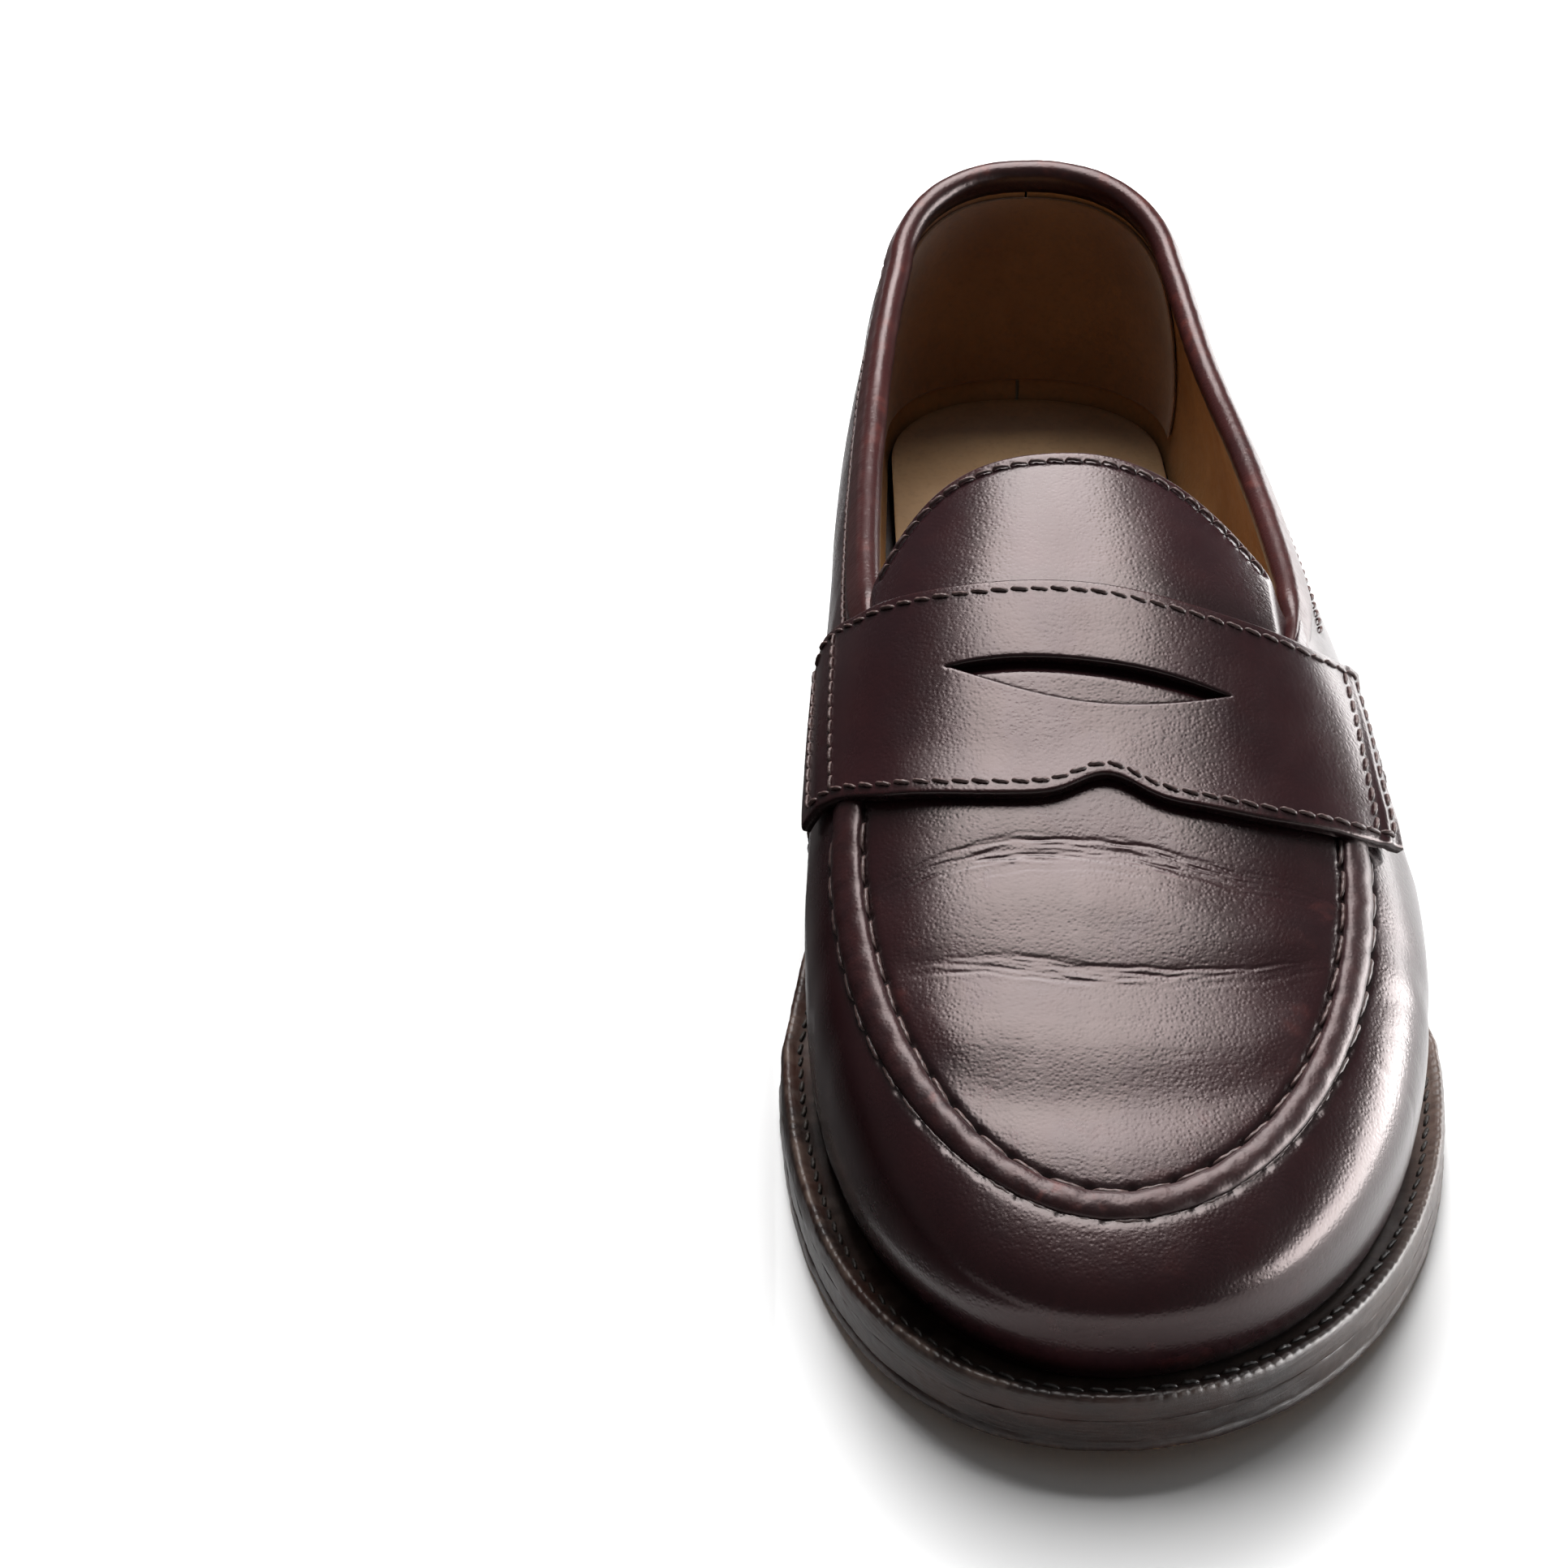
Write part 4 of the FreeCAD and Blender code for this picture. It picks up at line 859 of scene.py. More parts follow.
def apron_grid(inset, columns, straight, ahead):
    """A grid over the apron: straight rows at stations, then rows that spread into the round toe."""
    u = np.linspace(-1, 1, columns)
    half = pick(u, *SEAM_HALF) - inset
    rows = [(u * (half - SEAM_TAPER * (SEAM - station)), np.full_like(u, station)) for station in straight]
    length = SEAM_TIP - inset - SEAM
    for v in ahead:
        rows.append((u * half * math.sqrt(1 - v * v / 2), SEAM + length * v * np.sqrt(1 - u * u / 2)))
    return np.array([row[0] for row in rows]), np.array([row[1] for row in rows])


def tongue_grid(inset, columns, marks):
    x = np.linspace(-1, 1, columns) * (39.4 - inset)
    top = tongue_edge(x) + inset
    return np.tile(x, (len(marks), 1)), top + np.array(marks)[:, None] * (178.0 - top)


def tongue_tuck(x):
    """The tongue's sides dip under the quarters."""
    return -2.1 * ease(np.abs(x), 33.5, 38.0)


def build_vamp():
    side, q = around(side_q(169.0), TOE, side_q(169.0), 205)
    marks = np.concatenate([
        [0.0, 0.006, 0.015, 0.03], np.linspace(0.05, 0.9, 62), np.linspace(0.91, 1.0, 16),
    ])
    grid = wall_grid(side, q, -1.0, seam_g(side, q, 2.0), marks)
    points = grid[0](0.0)
    stations = HEEL - points[..., 1]
    scuffs = ease(field(points, 9.0, 2.0), 0.25, 0.6) * ease(stations, 272.0, 288.0) * ease(
        points[..., 2], 36.0, 24.0,
    )
    # Painted shade on the vamp: darker just below the roll's outer stitch row and, faintly, where the wall meets
    # the welt.
    shade_below_roll = bell(distances(points, apron_rows_out[0]["line"]), 1.0)
    dent = vamp_dent(points) + stitch_dent(points, apron_rows_out, 0.9, 0.14, 0.3) + 0.12 * field(
        points, 26.0, 1.0, 2,
    )
    panel(
        "vamp", grid, 0.0, LEATHER, "upper_leather", -1.55 * (1 - ease(stations, 174.9, 177.4)), dent,
        wear=0.35 * scuffs, dark=np.maximum(0.1 * foot_shade(points), shade_below_roll),
    )


def build_apron():
    straight = np.concatenate([np.linspace(180.0, 204.0, 44), np.linspace(204.5, 209.7, 20)])
    creased = np.concatenate([np.linspace(0.0, 0.47, 160)[:-1], np.linspace(0.47, 1.0, 70)])
    x, station = apron_grid(2.0, 231, straight, creased)
    grid = crown_grid(x, station)
    points = grid[0](0.0)
    slit_back, slit_front, bow = slit_lips(x)
    in_slit = ease(station - slit_back, 0.2, 2.4) * ease(slit_front - station, -1.2, 0.1) * ease(
        bow, 0.0, 0.35,
    )
    dent = apron_dent(x, station) + stitch_dent(points, apron_rows_in, 1.0, 0.3, 0.35)
    dent += 0.1 * field(points, 22.0, 3.0, 2) + 1.1 * in_slit
    # The dark mark is painted shade in the groove beside the roll's inner stitch row.
    panel(
        "apron", grid, 0.0, LEATHER, "upper_leather", 0.0, dent, 0.3,
        wear=0.25 * ease(field(points, 5.0, 4.0), 0.2, 0.6) * bell(seam_reach(x, station) - 0.9, 0.1),
        dark=bell(distances(points, apron_rows_in[0]["line"]), 1.1),
    )


def build_roll():
    """The raised roll between the stitch rows, pinched at each stitch and puckered between."""
    t = np.sin(np.linspace(-math.pi / 2, math.pi / 2, 25))
    side, q = around(side_q(200.0), TOE, side_q(208.0), 420)
    levels = np.stack([seam_g(side, q, widen) for widen in 2.3 * t], 1)
    sides, qs = side[:, None] + 0 * levels, q[:, None] + 0 * levels

    def place(offset):
        return path_on_wall(sides, qs, levels, 0 * levels + offset)[0]

    base = place(0.0)
    holes = np.concatenate([row["holes"] for row in apron_rows_out + apron_rows_in])
    pinch = bell(distances(base, holes), 1.6)
    arc = (np.sqrt(np.clip(1 - 0.99 * t * t, 0, 1)) ** 0.55)[None, :]
    height = (1.95 + 0.09 * field(base, 3.2, 6.0, 2)) * arc * (1 - 0.16 * pinch)
    height += 0.02 * field(base, 1.5, 7.0, 2) - 0.45
    worn = 0.0
    for x, station, width in ((-11.1, 276.6, 3.0), (-3.9, 279.8, 2.0), (-25.7, 258.7, 2.5)):
        worn = worn + bell(np.hypot(base[..., 0] - x, HEEL - base[..., 1] - station), width)
    worn = worn * ease(field(base, 2.0, 9.0), -0.1, 0.4)
    # The dark mark is painted shade on the roll's flanks and in its pinches at the stitches.
    panel(
        "apron_seam", (place, grid_faces(*levels.shape)), 0.0, 1.2, "upper_leather", 0.0, height, 0.05,
        looks["rolled_leather"],
        wear=0.12 * arc + 0.9 * worn, dark=np.clip(1.2 - 2.2 * arc, 0, 1) + 0.15 * pinch,
    )


def build_quarter(name, slot_side):
    """One back half of the upper, over the vamp's edge at its front, and its lining."""
    q = np.concatenate([even_q(0.004, side_q(175.4), 185), side_q(np.array([175.7, 176.0, 176.2]))])
    side = np.full_like(q, slot_side)
    grid = wall_grid(side, q, -1.0, topline_g(side, q), girth_marks)
    points = grid[0](0.0)
    stations = HEEL - points[..., 1]
    dent = stitch_dent(points, topline_rows + seat_rows, 0.9, 0.2, 0.25) + 0.22 * field(
        points, 30.0, 5.0 + slot_side, 2,
    )
    dent -= 0.25 * bell(stations - 132.0, 3.0) * ease(points[..., 2], 60.0, 70.0)
    # The dark mark is painted shade where the wall meets the welt.
    panel(
        f"quarter_{name}", grid, 0.0, 1.45, "upper_leather", 0.15 * ease(stations, 165.0, 173.0), dent,
        wear=0.07 * ease(field(points, 12.0, 8.0), 0.1, 0.9), dark=0.7 * foot_shade(points),
    )
    q = even_q(0.004, side_q(167.0), 120)
    side = np.full_like(q, slot_side)
    grid = wall_grid(side, q, -0.92, topline_g(side, q, 0.4), np.linspace(0, 1, 50))
    shade = 0.5 * ease(grid[0](-2.9)[..., 2], 50.0, 30.0)
    panel(f"quarter_lining_{name}", grid, -2.9, LINING, "lining_leather", radius=0.2, dark=shade)


def build_heel_leathers():
    """The backstay over the back seam, and the suede inside the heel."""
    side, q = around(0.15, BACK, 0.15, 45)
    grid = wall_grid(side, q, -1.0, topline_g(side, q, 4.6), girth_marks)
    points = grid[0](1.2)
    dent = stitch_dent(points, backstay_rows, 0.8, 0.18, 0.2)
    # The dark mark is painted shade towards the backstay's foot, above the heel.
    panel(
        "backstay", grid, 1.25, 1.2, "upper_leather", 0.0, dent, 0.5,
        wear=0.06 * ease(field(points, 8.0, 8.0), 0.0, 0.8), dark=0.6 * ease(points[..., 2] - 33.0, 5.0, 0.0),
    )
    side, q = around(0.95, BACK, 0.95, 60)
    grid = wall_grid(side, q, -0.55, topline_g(side, q, 5.5), close_marks(40, 40.0))
    panel("heel_grip", grid, -4.05, 0.8, "suede", 0.0, 0.1 * field(grid[0](-4.0), 12.0, 3.0, 2), 0.5)


def build_binding():
    """The topline's binding: a soft strip folded over the edge."""
    angles = np.radians(np.linspace(0, 180, 19))
    profile = [(1.0, -3.3), (1.03, -3.1), (1.06, -2.6), (1.05, -1.4)]
    profile += [(math.cos(a), math.sin(a)) for a in angles]
    profile += [(-1.0, -1.5), (-0.98, -3.4), (-0.86, -3.5), (-0.8, -3.0), (-0.78, -1.5)]
    profile += [(0.76 * math.cos(a), 0.76 * math.sin(a)) for a in angles[::-1]]
    profile += [(0.78, -1.6), (0.84, -3.1), (0.93, -3.35)]
    side, q = around(side_q(170.0), BACK, side_q(173.0), 280)
    g = topline_g(side, q)
    edge, out, _ = wall_frame(side, q, g)
    up = edge - wall_point(side, q, g - 0.02)
    up = unit(up - out * np.sum(up * out, -1, keepdims=True))
    thin = 1 - 0.62 * ease(HEEL - edge[:, 1], 152.0, 164.0)
    rings = []
    for across_share, rise in profile:
        reach = (-1.9 + 2.45 * across_share) * (0.4 + 0.6 * thin) - 0.8 * (1 - thin)
        lift = rise * 2.5 * thin if rise > 0 else rise + 0 * thin
        rings.append(edge + out * reach[:, None] + up * (lift - 0.1)[:, None])
    rings = np.stack(rings, 1)
    swell = 0.10 * field(rings, 6.0, 12.0, 2) + 0.05 * field(rings, 1.8, 13.0, 2)
    rings = rings + out[:, None, :] * swell[..., None]
    count = rings.shape[1]
    last_ring = (len(rings) - 1) * count
    faces = grid_faces(len(rings), count, wrap=True)
    faces += [tuple(range(count)), tuple(last_ring + k for k in range(count))[::-1]]
    rises = np.array([rise for _, rise in profile])[None, :] + 0 * rings[..., 0]
    wear = 0.35 * np.maximum(rises, 0.0) * ease(field(rings, 5.0, 2.0), 0.1, 0.6)
    # The dark mark is painted shade on the binding's underside, under its fold.
    marks = {"wear": wear, "dark": np.where(rises < -2.7, 0.6, 0.0)}
    new_piece("topline_binding", rings.reshape(-1, 3), faces, "binding_leather", marks=marks, sharp=75)


def build_tongue():
    marks = np.concatenate([[0.0, 0.003, 0.008, 0.015, 0.024], np.linspace(0.035, 1.0, 75)])
    x, station = tongue_grid(0.0, 161, marks)
    grid = crown_grid(x, station)
    points = grid[0](0.0)
    dent = stitch_dent(points, tongue_rows, 0.9, 0.2, 0.25) + 0.15 * field(points, 24.0, 17.0, 2)
    # The dark mark is painted shade where the tongue runs under the strap.
    panel(
        "tongue", grid, 0.0, LEATHER, "upper_leather", tongue_tuck(x), dent,
        wear=0.3 * bell(station - tongue_edge(x), 1.0), dark=0.5 * ease(station, 163.0, 172.0),
    )
    x, station = tongue_grid(1.2, 81, np.linspace(0, 1, 40))
    panel(
        "tongue_lining", crown_grid(x, station), -1.75, LINING, "lining_leather", tongue_tuck(x),
        radius=0.3,
    )


def build_canvas():
    """The canvas behind the apron and the vamp."""
    x, station = apron_grid(3.2, 81, np.linspace(180.0, 208.0, 20), np.linspace(0.0, 1.0, 50))
    dent = 0.6 * np.minimum(apron_dent(x, station), 0)
    panel("apron_lining", crown_grid(x, station), -1.75, LINING, "canvas", 0.0, dent, 0.2)
    side, q = around(side_q(168.6), TOE, side_q(168.6), 90)
    grid = wall_grid(side, q, -0.95, seam_g(side, q, 2.45), np.linspace(0, 1, 40))
    panel("vamp_lining", grid, -2.75, LINING, "canvas", radius=0.2)


def build_strap():
    """The strap in two bands, behind and ahead of its slit, which share their points past the slit's ends."""
    near_end = np.array([0.984, 0.992, 0.997, 1.0])
    u = np.concatenate([-near_end[::-1], np.linspace(-0.975, 0.975, 330), near_end])
    back, front = strap_edges(u)
    slit_back, slit_front, bow = slit_lips(strap_x(u, np.full_like(u, 188.0)))
    slit_back, slit_front = (slit_back - back) / (front - back), (slit_front - back) / (front - back)
    first, second = close_marks(26, 16.0, 0.6)[:, None], close_marks(26, 18.0, 0.6)[:, None]
    v = np.concatenate([slit_back * first, slit_front + (1 - slit_front) * second])
    us = u[None, :] + 0 * v
    rows, columns = len(first), len(u)
    faces = grid_faces(rows, columns)
    for face in grid_faces(len(second), columns):
        faces.append(tuple(k + (rows - int(k < columns and bow[k] <= 0)) * columns for k in face))
    place, _ = crown_grid(*strap_place(us, v))
    points = place(0.0)
    behind = np.arange(len(v))[:, None] < rows
    slit_gap = np.abs(v - np.where(behind, slit_back, slit_front)) * STRAP_WIDTH
    edge_gap = np.minimum(v, 1 - v) * STRAP_WIDTH
    lips = np.where(behind, 0.15, -0.2) * bell(slit_gap, 5.0) * bow
    dent = stitch_dent(points, strap_rows_back + strap_rows_front + strap_rows_ends, 0.85, 0.2, 0.22)
    # The dark mark is painted shade in the slit's gap, and the strap's own inked edges.
    panel(
        "penny_strap", (place, faces), STRAP_OUT, 1.9, "upper_leather", strap_lift(us, v) + lips,
        dent + 0.14 * field(points, 25.0, 21.0, 2), 0.65,
        wear=0.15 * bell(edge_gap, 0.9), dark=np.maximum(
            0.8 * bell(slit_gap, 0.35) * (bow > 0), bell(edge_gap, 0.3),
        ),
    )


build_vamp()
build_apron()
build_roll()
build_quarter("medial", MEDIAL)
build_quarter("lateral", LATERAL)
build_heel_leathers()
build_binding()
build_tongue()
build_canvas()
build_strap()

# ---------------------------------------------------------------- threads
stitches("apron_stitch_outer", apron_rows_out, 0.44, 1, lift=0.15, fill=0.9, slant=0.05)
stitches("apron_stitch_inner", apron_rows_in, 0.4, 2, lift=0.12, fill=0.9, slant=0.05)
stitches("strap_stitch_back", strap_rows_back, 0.33, 3)
stitches("strap_stitch_front", strap_rows_front, 0.34, 4)
stitches("strap_stitch_ends", strap_rows_ends, 0.33, 5)
stitches("tongue_stitch", tongue_rows, 0.32, 6)
stitches("topline_stitch", topline_rows, 0.31, 7)
stitches("vamp_seat_stitch", seat_rows, 0.31, 8, replaces=())
stitches("backstay_stitch", backstay_rows, 0.3, 9, replaces=())


# ---------------------------------------------------------------- the sole and heel
def sole_piece(name, line, profile, slot, count=420, relief=None, closed_loop=False, **marks):
    """A layer of the sole. profile is rows of (inset, level over the tread, share of the way to the middle), from
    the middle of one face to that of the other. relief and marks are functions of its rings."""
    side, q = (values[:-1] for values in around(BACK, TOE, BACK, count))
    middle = np.interp(q, [0, 1, 2, 3], [44.0, 60.0, 185.0, 232.0])
    rings = []
    for inset, level, share in profile:
        x, station = outline(line, side, q, inset)
        x, station = x * (1 - share), station + (middle - station) * share
        rings.append(np.stack([x, HEEL - station, tread(station) + level], -1))
    rings = np.array(rings)
    if relief is not None:
        rings = rings + relief(rings)
    points, faces = loft(rings, closed_loop)
    values = {mark: function(rings) for mark, function in marks.items()}
    if closed_loop:
        values = {mark: np.concatenate([value, value[:1]]) for mark, value in values.items()}
    return new_piece(name, points, faces, slot, marks=values)


def outward(rings):
    """The direction out of the sole at each point of its rings."""
    middle = np.stack([0 * rings[..., 0], HEEL - np.clip(HEEL - rings[..., 1], 44, 232), rings[..., 2]], -1)
    return unit(rings - middle)


def level_of(rings):
    """Height over the tread."""
    return rings[..., 2] - tread(HEEL - rings[..., 1])


def dust_and_painted_light(rings):
    """Pale dust and scuffs along the outer side of the sole's edge, on top of painted light that makes that whole
    side paler.
    """
    grain = ease(field(rings * np.array([1.0, 1.0, 0.7]), 1.6, 63.0), -0.5, 0.4)
    return ease(rings[..., 0], 22.0, 50.0) * (0.35 + 0.3 * grain)


def outsole_relief(rings):
    """Scuffs and a swelling at the worn lower edge, and the groove that the bottom's stitches lie in."""
    rough = 0.16 * field(rings * np.array([1.0, 1.0, 3.0]), 7.0, 31.0, 3) + 0.07 * field(rings, 1.4, 32.0, 2)
    edge = np.zeros(rings.shape[:2])
    edge[6:-6] = 1.0
    groove = 0.26 * bell(level_of(rings) - 2.0, 0.15) * ease(-rings[..., 0], 12.0, 34.0)
    return outward(rings) * ((rough - groove) * edge)[..., None]


def outsole_wear(rings):
    low_edge = 0.28 * ease(field(rings, 2.0, 41.0), 0.1, 0.5) * ease(level_of(rings), 1.6, 0.5)
    # The outer side's part is dust over painted light.
    return np.maximum(low_edge, dust_and_painted_light(rings))


def welt_relief(rings):
    """Fudge-wheel ridges across the top's outer edge, and small dips along the edge."""
    length = np.concatenate([[0], np.cumsum(np.linalg.norm(np.diff(rings[3], axis=0), axis=1))])
    ridge = -bell(np.mod(length, WHEEL_PITCH) / WHEEL_PITCH - 0.5, 0.16)[None, :]
    top = np.zeros(rings.shape[:2])
    top[3:8] = np.array([0.4, 0.9, 1.0, 0.9, 0.3])[:, None]
    uneven = 0.6 + 0.8 * (field(rings, 9.0, 51.0, 2) > -0.1)
    away = 0.13 * field(rings * np.array([1.0, 1.0, 3.0]), 6.0, 53.0, 3) + 0.05 * ridge * top
    away[:2] = 0
    move = outward(rings) * away[..., None]
    move[..., 2] += 0.17 * ridge * top * uneven + 0.07 * field(rings, 2.5, 52.0, 2)
    return move


to_middle = [0.25, 0.5, 0.75, 1.0]
outsole_profile = [(1.2, 5.85, share) for share in to_middle[::-1]]
edge_levels = [5.72, 5.2, 4.2, 3.2, 2.5, 2.22, 2.1, 2.0, 1.9, 1.78]
outsole_profile += [(1.2, 5.87, 0.0), (0.02, 5.87, 0.0)] + [(0.0, level, 0.0) for level in edge_levels]
outsole_profile += [(-0.1, 1.55, 0.0), (-0.25, 1.1, 0.0), (-0.3, 0.6, 0.0), (-0.1, 0.2, 0.0), (0.5, 0.0, 0.0)]
outsole_profile += [(1.6, 0.0, 0.0), (3.2, 0.0, 0.0), (3.9, 0.05, 0.0), (4.3, 0.5, 0.0), (4.9, 0.5, 0.0)]
outsole_profile += [(5.3, 0.05, 0.0), (6.0, 0.0, 0.0)] + [(6.0, 0.0, share) for share in to_middle]
outsole = sole_piece(
    "outsole", "sole", outsole_profile, "sole_leather", 520, outsole_relief, wear=outsole_wear,
)
outsole.data.materials.append(looks["sole_bottom"])
for face in outsole.data.polygons:
    if face.normal.z < -0.55:
        face.material_index = 1

# The welt's rows: inset, level, how worn and how deep the painted shade is, under the upper's edge and against the
# outsole.
WELT_ROWS = (
    (7.4, 9.0, 0.2, 0.4), (5.0, 9.1, 0.4, 0.2), (3.4, 9.4, 0.4, 0.1), (2.3, 9.9, 0.2, 0.05), (
        1.5, 10.35, 0.5, 0.05,
    ),
    (0.95, 10.4, 1, 0), (0.5, 10.1, 0.7, 0), (0.25, 9.4, 0.1, 0), (0.15, 8.5, 0, 0), (0.05, 7.5, 0, 0),
    (0.0, 6.6, 0, 0), (0.0, 6.1, 0, 0), (0.03, 5.9, 0, 0), (1.6, 5.89, 0, 1), (7.4, 5.89, 0, 1),
)
# The last column is painted shade, deepest on the welt's underside against the outsole.
worn_rows, welt_shade_rows = np.array(WELT_ROWS)[:, 2, None], np.array(WELT_ROWS)[:, 3, None]
welt_profile = [(inset, level, 0.0) for inset, level, _, _ in WELT_ROWS]
sole_piece(
    "welt", "sole", welt_profile, "welt_leather", 900, welt_relief, True,
    # The outer side's wear is dust over painted light.
    wear=lambda rings: np.maximum(0.8 * ease(field(rings, 5.0, 61.0), -0.15, 0.3) * worn_rows, dust_and_painted_light(rings)),
    dark=lambda rings: welt_shade_rows + 0 * rings[..., 0],
)

side, q = around(side_q(122.0), TOE, side_q(122.0), 320)
x, station = outline("sole", side, q, 3.3)
path = np.stack([x, HEEL - station, tread(station) + 9.45], -1)
welt_rows = [lay_row(path, np.tile([0.0, 0.0, 1.0], (len(path), 1)), 3.6)]
stitches("welt_stitch", welt_rows, 0.38, 10, "welt_thread", lift=0.1, fill=0.9)

sock_profile = [(5.7, 12.4, share) for share in to_middle[::-1]]
sock_profile += [(5.2, 12.4, 0.0), (4.3, 12.8, 0.0), (4.1, 13.7, 0.0), (4.6, 13.9, 0.0)]
sock_profile += [(4.9, 13.7 - 0.5 * math.sqrt(share), share) for share in np.linspace(0.02, 1.0, 14)]
sole_piece(
    "sock_liner", "feather", sock_profile, "insole_leather", 240,
    lambda rings: 0.12 * field(rings, 18.0, 71.0, 2)[..., None] * np.array([0.0, 0.0, 1.0]),
)


def heel_outline(inset, breast=78.0):
    """The heel's D as a closed line of evenly spaced points with softened corners."""
    q = np.concatenate([np.linspace(0, 1, 60), np.linspace(1, side_q(breast - inset), 30)[1:]])
    inner, outer = (np.stack(outline("sole", np.full_like(q, side), q, inset), -1) for side in (
        MEDIAL, LATERAL,
    ))
    front = np.linspace(inner[-1], outer[-1], 60)[1:-1]
    front[:, 1] -= 1.6 * np.sin(np.linspace(0, math.pi, len(front)))
    line = np.concatenate([inner, front, outer[:0:-1], inner[:1]])
    length = np.concatenate([[0], np.cumsum(np.linalg.norm(np.diff(line, axis=0), axis=1))])
    even = np.linspace(0, length[-1], 381)[:-1]
    line = np.stack([np.interp(even, length, line[:, k]) for k in (0, 1)], -1)
    for _ in range(3):
        line = (np.roll(line, 1, 0) + line + np.roll(line, -1, 0)) / 3
    return line


def heel_piece(name, inset, low, high, seed, slot="heel_leather", keep=None):
    """A layer of the heel with eased edges. low is a height; high is a height or a function of the station."""
    roof = high if callable(high) else lambda station: high + 0 * station
    rings = []
    for eased, rise in (
        (0.35, 0.0), (0.12, 0.06), (0.0, 0.18), (0.0, 0.4), (0.0, 0.6), (0.0, 0.82), (0.12, 0.94),
        (0.35, 1.0),
    ):
        line = heel_outline(inset + eased)
        if keep is not None:
            line = keep(line, eased)
        x, station = line[:, 0], line[:, 1]
        rings.append(np.stack([x, HEEL - station, low + rise * (roof(station) - low)], -1))
    rings = np.array(rings)
    centre = rings.mean(axis=(0, 1))
    rough = 0.05 * field(rings * np.array([1.0, 1.0, 4.0]), 5.0, 80.0 + seed, 2)
    rings = rings + unit((rings - centre) * np.array([1, 1, 0])) * rough[..., None]
    lower, upper = ([ring + (centre - ring) * share for share in (0.5, 1.0)] for ring in (
        rings[0], rings[-1],
    ))
    for inside_low, inside_high in zip(lower, upper):
        inside_low[:, 2] = low
        inside_high[:, 2] = roof(HEEL - inside_high[:, 1])
    rings = np.concatenate([np.array(lower[::-1]), rings, np.array(upper)])
    points, faces = loft(rings)
    height = np.clip(np.abs(np.arange(len(rings)) - (len(rings) - 1) / 2) / 4.5, 0, 1)[:, None] + 0 * rings[
        ..., 0,
    ]
    wear = 0.15 * ease(field(rings, 3.0, 90.0 + seed), 0.15, 0.5)
    new_piece(name, points, faces, slot, marks={"wear": wear, "dark": 0.5 * ease(height, 0.45, 0.8)})


def ahead_of_cut(line, eased):
    return np.stack([line[:, 0], np.maximum(line[:, 1], RUBBER_CUT + 0.1 + eased)], -1)


def behind_cut(line, eased):
    cut = RUBBER_CUT - 0.1 - eased
    behind = line[line[:, 1] <= cut, 0]
    return np.stack([np.clip(line[:, 0], behind.min(), behind.max()), np.minimum(line[:, 1], cut)], -1)


heel_piece("top_piece", 1.8, 0.05, 6.0, 1, keep=ahead_of_cut)
heel_piece("top_piece_rubber", 1.8, 0.05, 6.0, 2, "rubber", behind_cut)
for number in range(3):
    low = 6.05 + number * 4.35
    heel_piece(f"heel_lift_{number + 1}", 1.5 - 0.2 * number, low, low + 4.3, 3 + number)
heel_piece("heel_rand", 0.6, 19.1, lambda station: np.maximum(tread(station) - 0.05, 19.15), 6)

# The parts that stay as the CAD has them, with their own finishes.
KEPT = {
    "toe_puff": "stiffener", "heel_counter": "stiffener", "insole_rib": "canvas", "cork_filler": "cork",
    "insole": "insole_leather", "shank": "steel", "heel_nails": "brass",
}
for node, look in KEPT.items():
    for material_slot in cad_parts[node].material_slots:
        material_slot.material = looks[look]


# ---------------------------------------------------------------- floor, lights and camera
def softbox(name, place, target, width, depth, power, in_diffuse=True, in_gloss=True):
    """A rectangular lamp that lights only the soft or only the glossy part of surfaces, when told to."""
    lamp = bpy.data.lights.new(name, "AREA")
    lamp.shape, lamp.size, lamp.size_y = "RECTANGLE", width, depth
    lamp.energy = power
    holder = bpy.data.objects.new(name, lamp)
    holder.location = place
    holder.rotation_euler = (Vector(target) - Vector(place)).to_track_quat("-Z", "Y").to_euler()
    holder.visible_camera, holder.visible_diffuse, holder.visible_glossy = False, in_diffuse, in_gloss
    bpy.context.scene.collection.objects.link(holder)


def staged(name, corners, roughness, tones, noise_size, ior=1.5):
    """A flat piece of the set."""
    mesh = bpy.data.meshes.new(name)
    mesh.from_pydata(corners, [], [tuple(range(len(corners)))])
    piece = bpy.data.objects.new(name, mesh)
    bpy.context.scene.collection.objects.link(piece)
    finish = Finish(name, Roughness=roughness, IOR=ior)
    finish.colour(finish.mix(finish.noise(noise_size), *tones))
    mesh.materials.append(finish.material)
    piece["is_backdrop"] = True
    return piece


FLOOR_RADIUS, FLOOR_SIDES = 6.0, 96
turns = [2 * math.pi * k / FLOOR_SIDES for k in range(FLOOR_SIDES)]
rim = [(FLOOR_RADIUS * math.sin(turn), FLOOR_RADIUS * math.cos(turn), 0.0) for turn in turns]
staged("floor", rim, 0.45, ((0.90, 0.90, 0.90), (0.93, 0.93, 0.93)), 60.0, 1.4)

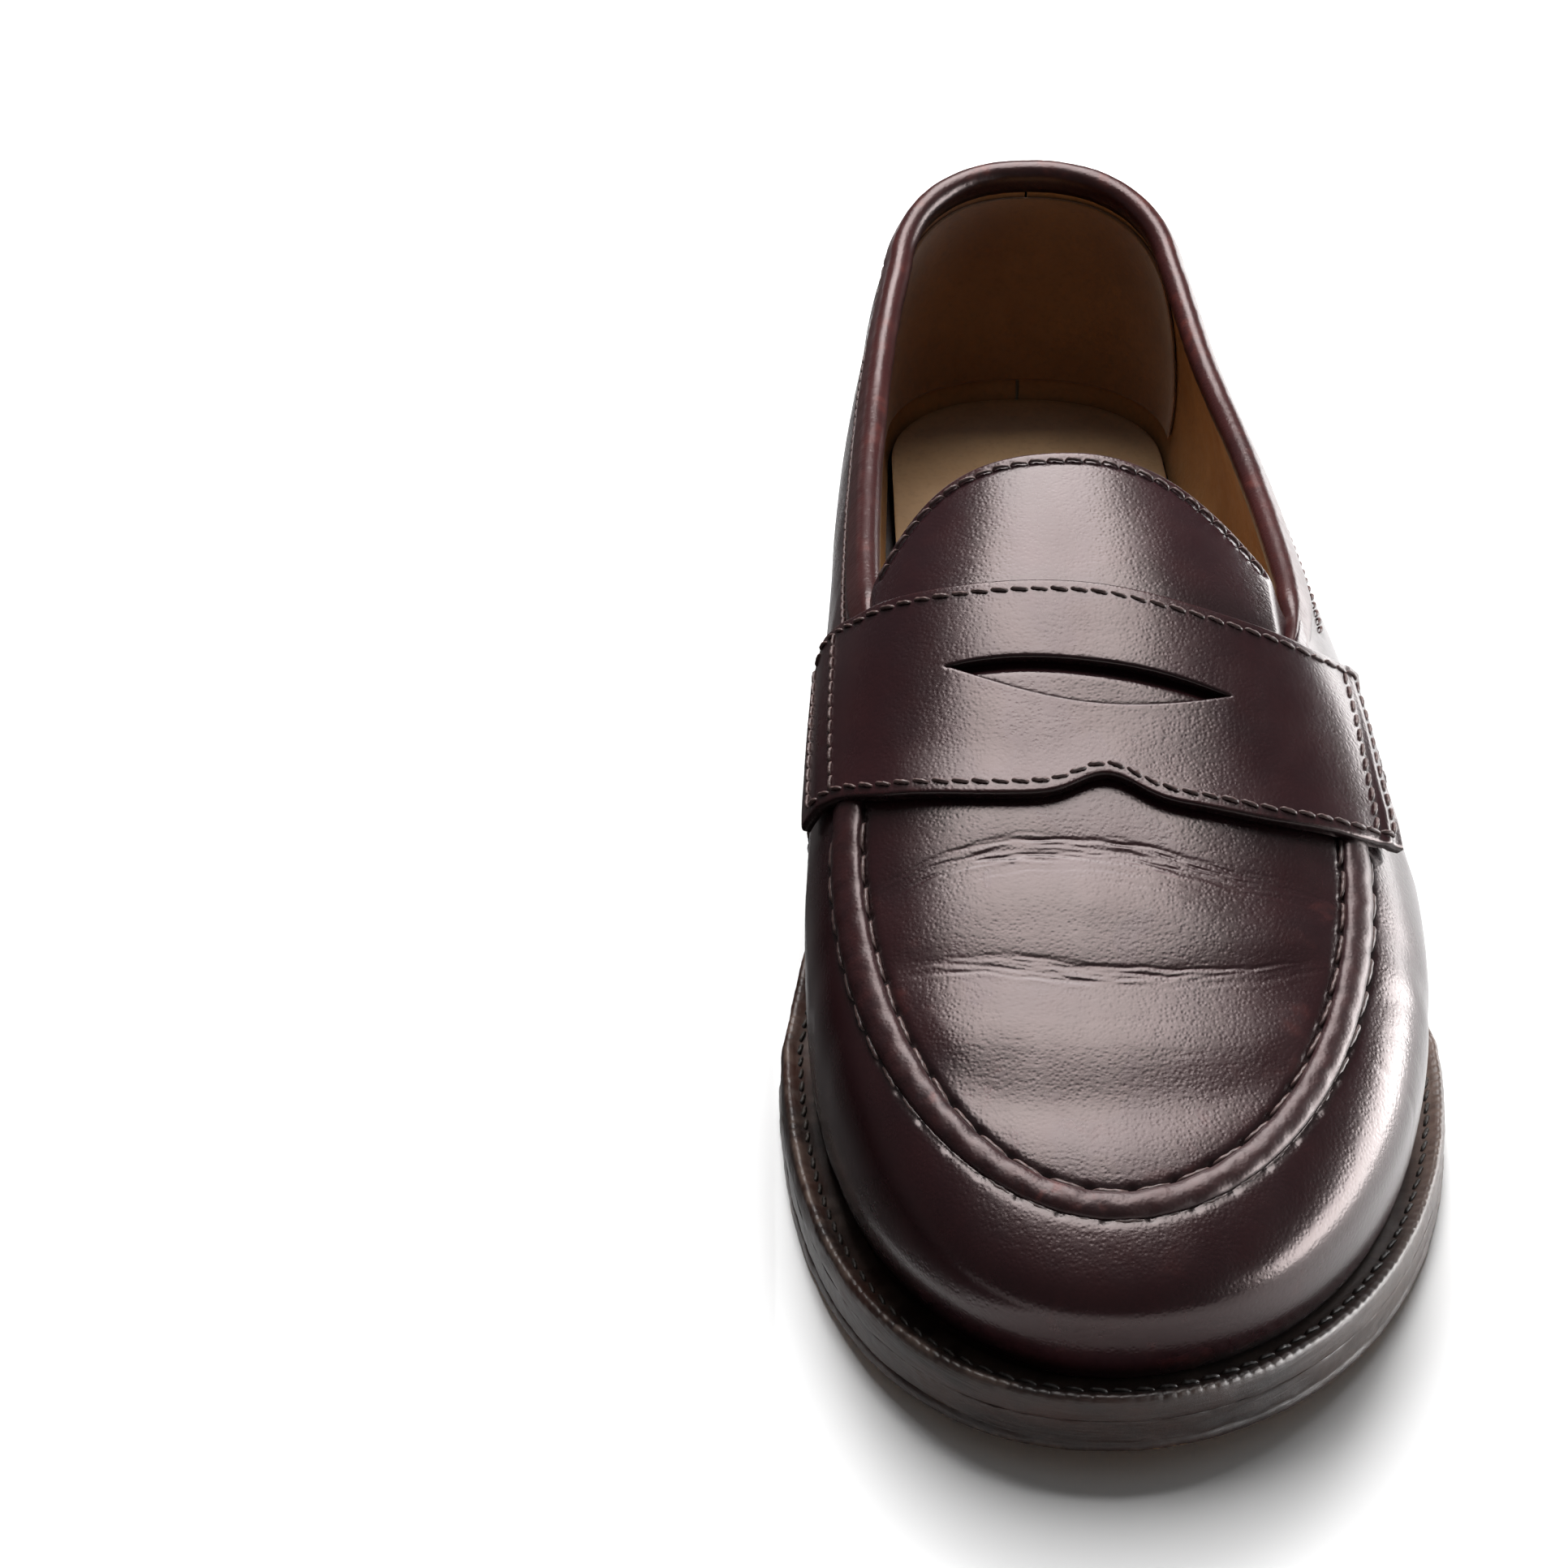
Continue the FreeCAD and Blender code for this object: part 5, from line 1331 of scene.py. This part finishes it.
softbox("overhead", (-0.02, 0.37, 1.14), (0.0, -0.1, 0.05), 0.58, 1.14, 20.5, in_diffuse=False)
softbox("above", (-0.02, 0.52, 1.06), (0.0, -0.1, 0.05), 0.60, 0.90, 19.5, in_gloss=False)
softbox("behind", (0.1, 0.85, 0.80), (0.0, -0.1, 0.05), 0.6, 0.4, 20.0, in_gloss=False)
softbox("right_back", (1.0, 0.65, 0.15), (0.05, -0.1, 0.05), 1.1, 0.30, 7.5, in_diffuse=False)
softbox("right_low", (0.95, -0.18, 0.22), (0.05, -0.15, 0.04), 1.05, 0.44, 22.0, in_diffuse=False)

# Two dark cards, seen by reflections and soft light but not by the camera, stand for the pair's other shoe.
NEAR, FAR, UPRIGHT, BEHIND = -0.0515, -0.30, -0.16, 0.35
cards = {
    "card_level": [(NEAR, -0.32, 0.001), (NEAR, BEHIND, 0.001), (FAR, BEHIND, 0.001), (FAR, -0.32, 0.001)],
    "card_upright": [
        (UPRIGHT, -0.30, 0.0), (UPRIGHT, BEHIND, 0.0), (UPRIGHT, BEHIND, 0.13), (UPRIGHT, -0.30, 0.13),
    ],
}
for name, corners in cards.items():
    card = staged(name, corners, 0.6, ((0.012, 0.008, 0.008), (0.018, 0.012, 0.012)), 40.0)
    card.visible_camera = card.visible_shadow = card.visible_transmission = False

world = bpy.data.worlds.new("studio")
bpy.context.scene.world = world
world.use_nodes = True
background = world.node_tree.nodes["Background"]
background.inputs["Color"].default_value = (1.0, 1.0, 1.0, 1.0)
background.inputs["Strength"].default_value = 0.10

# The photograph's view: from ahead of the toe, above it and a little to the inner side.
view = bpy.data.cameras.new("photo_view")
view.sensor_width = 36.0
view.lens = 93.17
view.clip_start = 0.05
LOOK_DOWN, TURN = 0.55195, -0.00638
camera = bpy.data.objects.new("photo_view", view)
camera.location = (-0.0534, -0.7330, 0.4130)
camera.rotation_euler = (math.pi / 2 - LOOK_DOWN, 0.0, TURN)
bpy.context.scene.collection.objects.link(camera)
bpy.context.scene.camera = camera
bpy.context.scene.view_settings.view_transform = "Standard"

low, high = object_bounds()
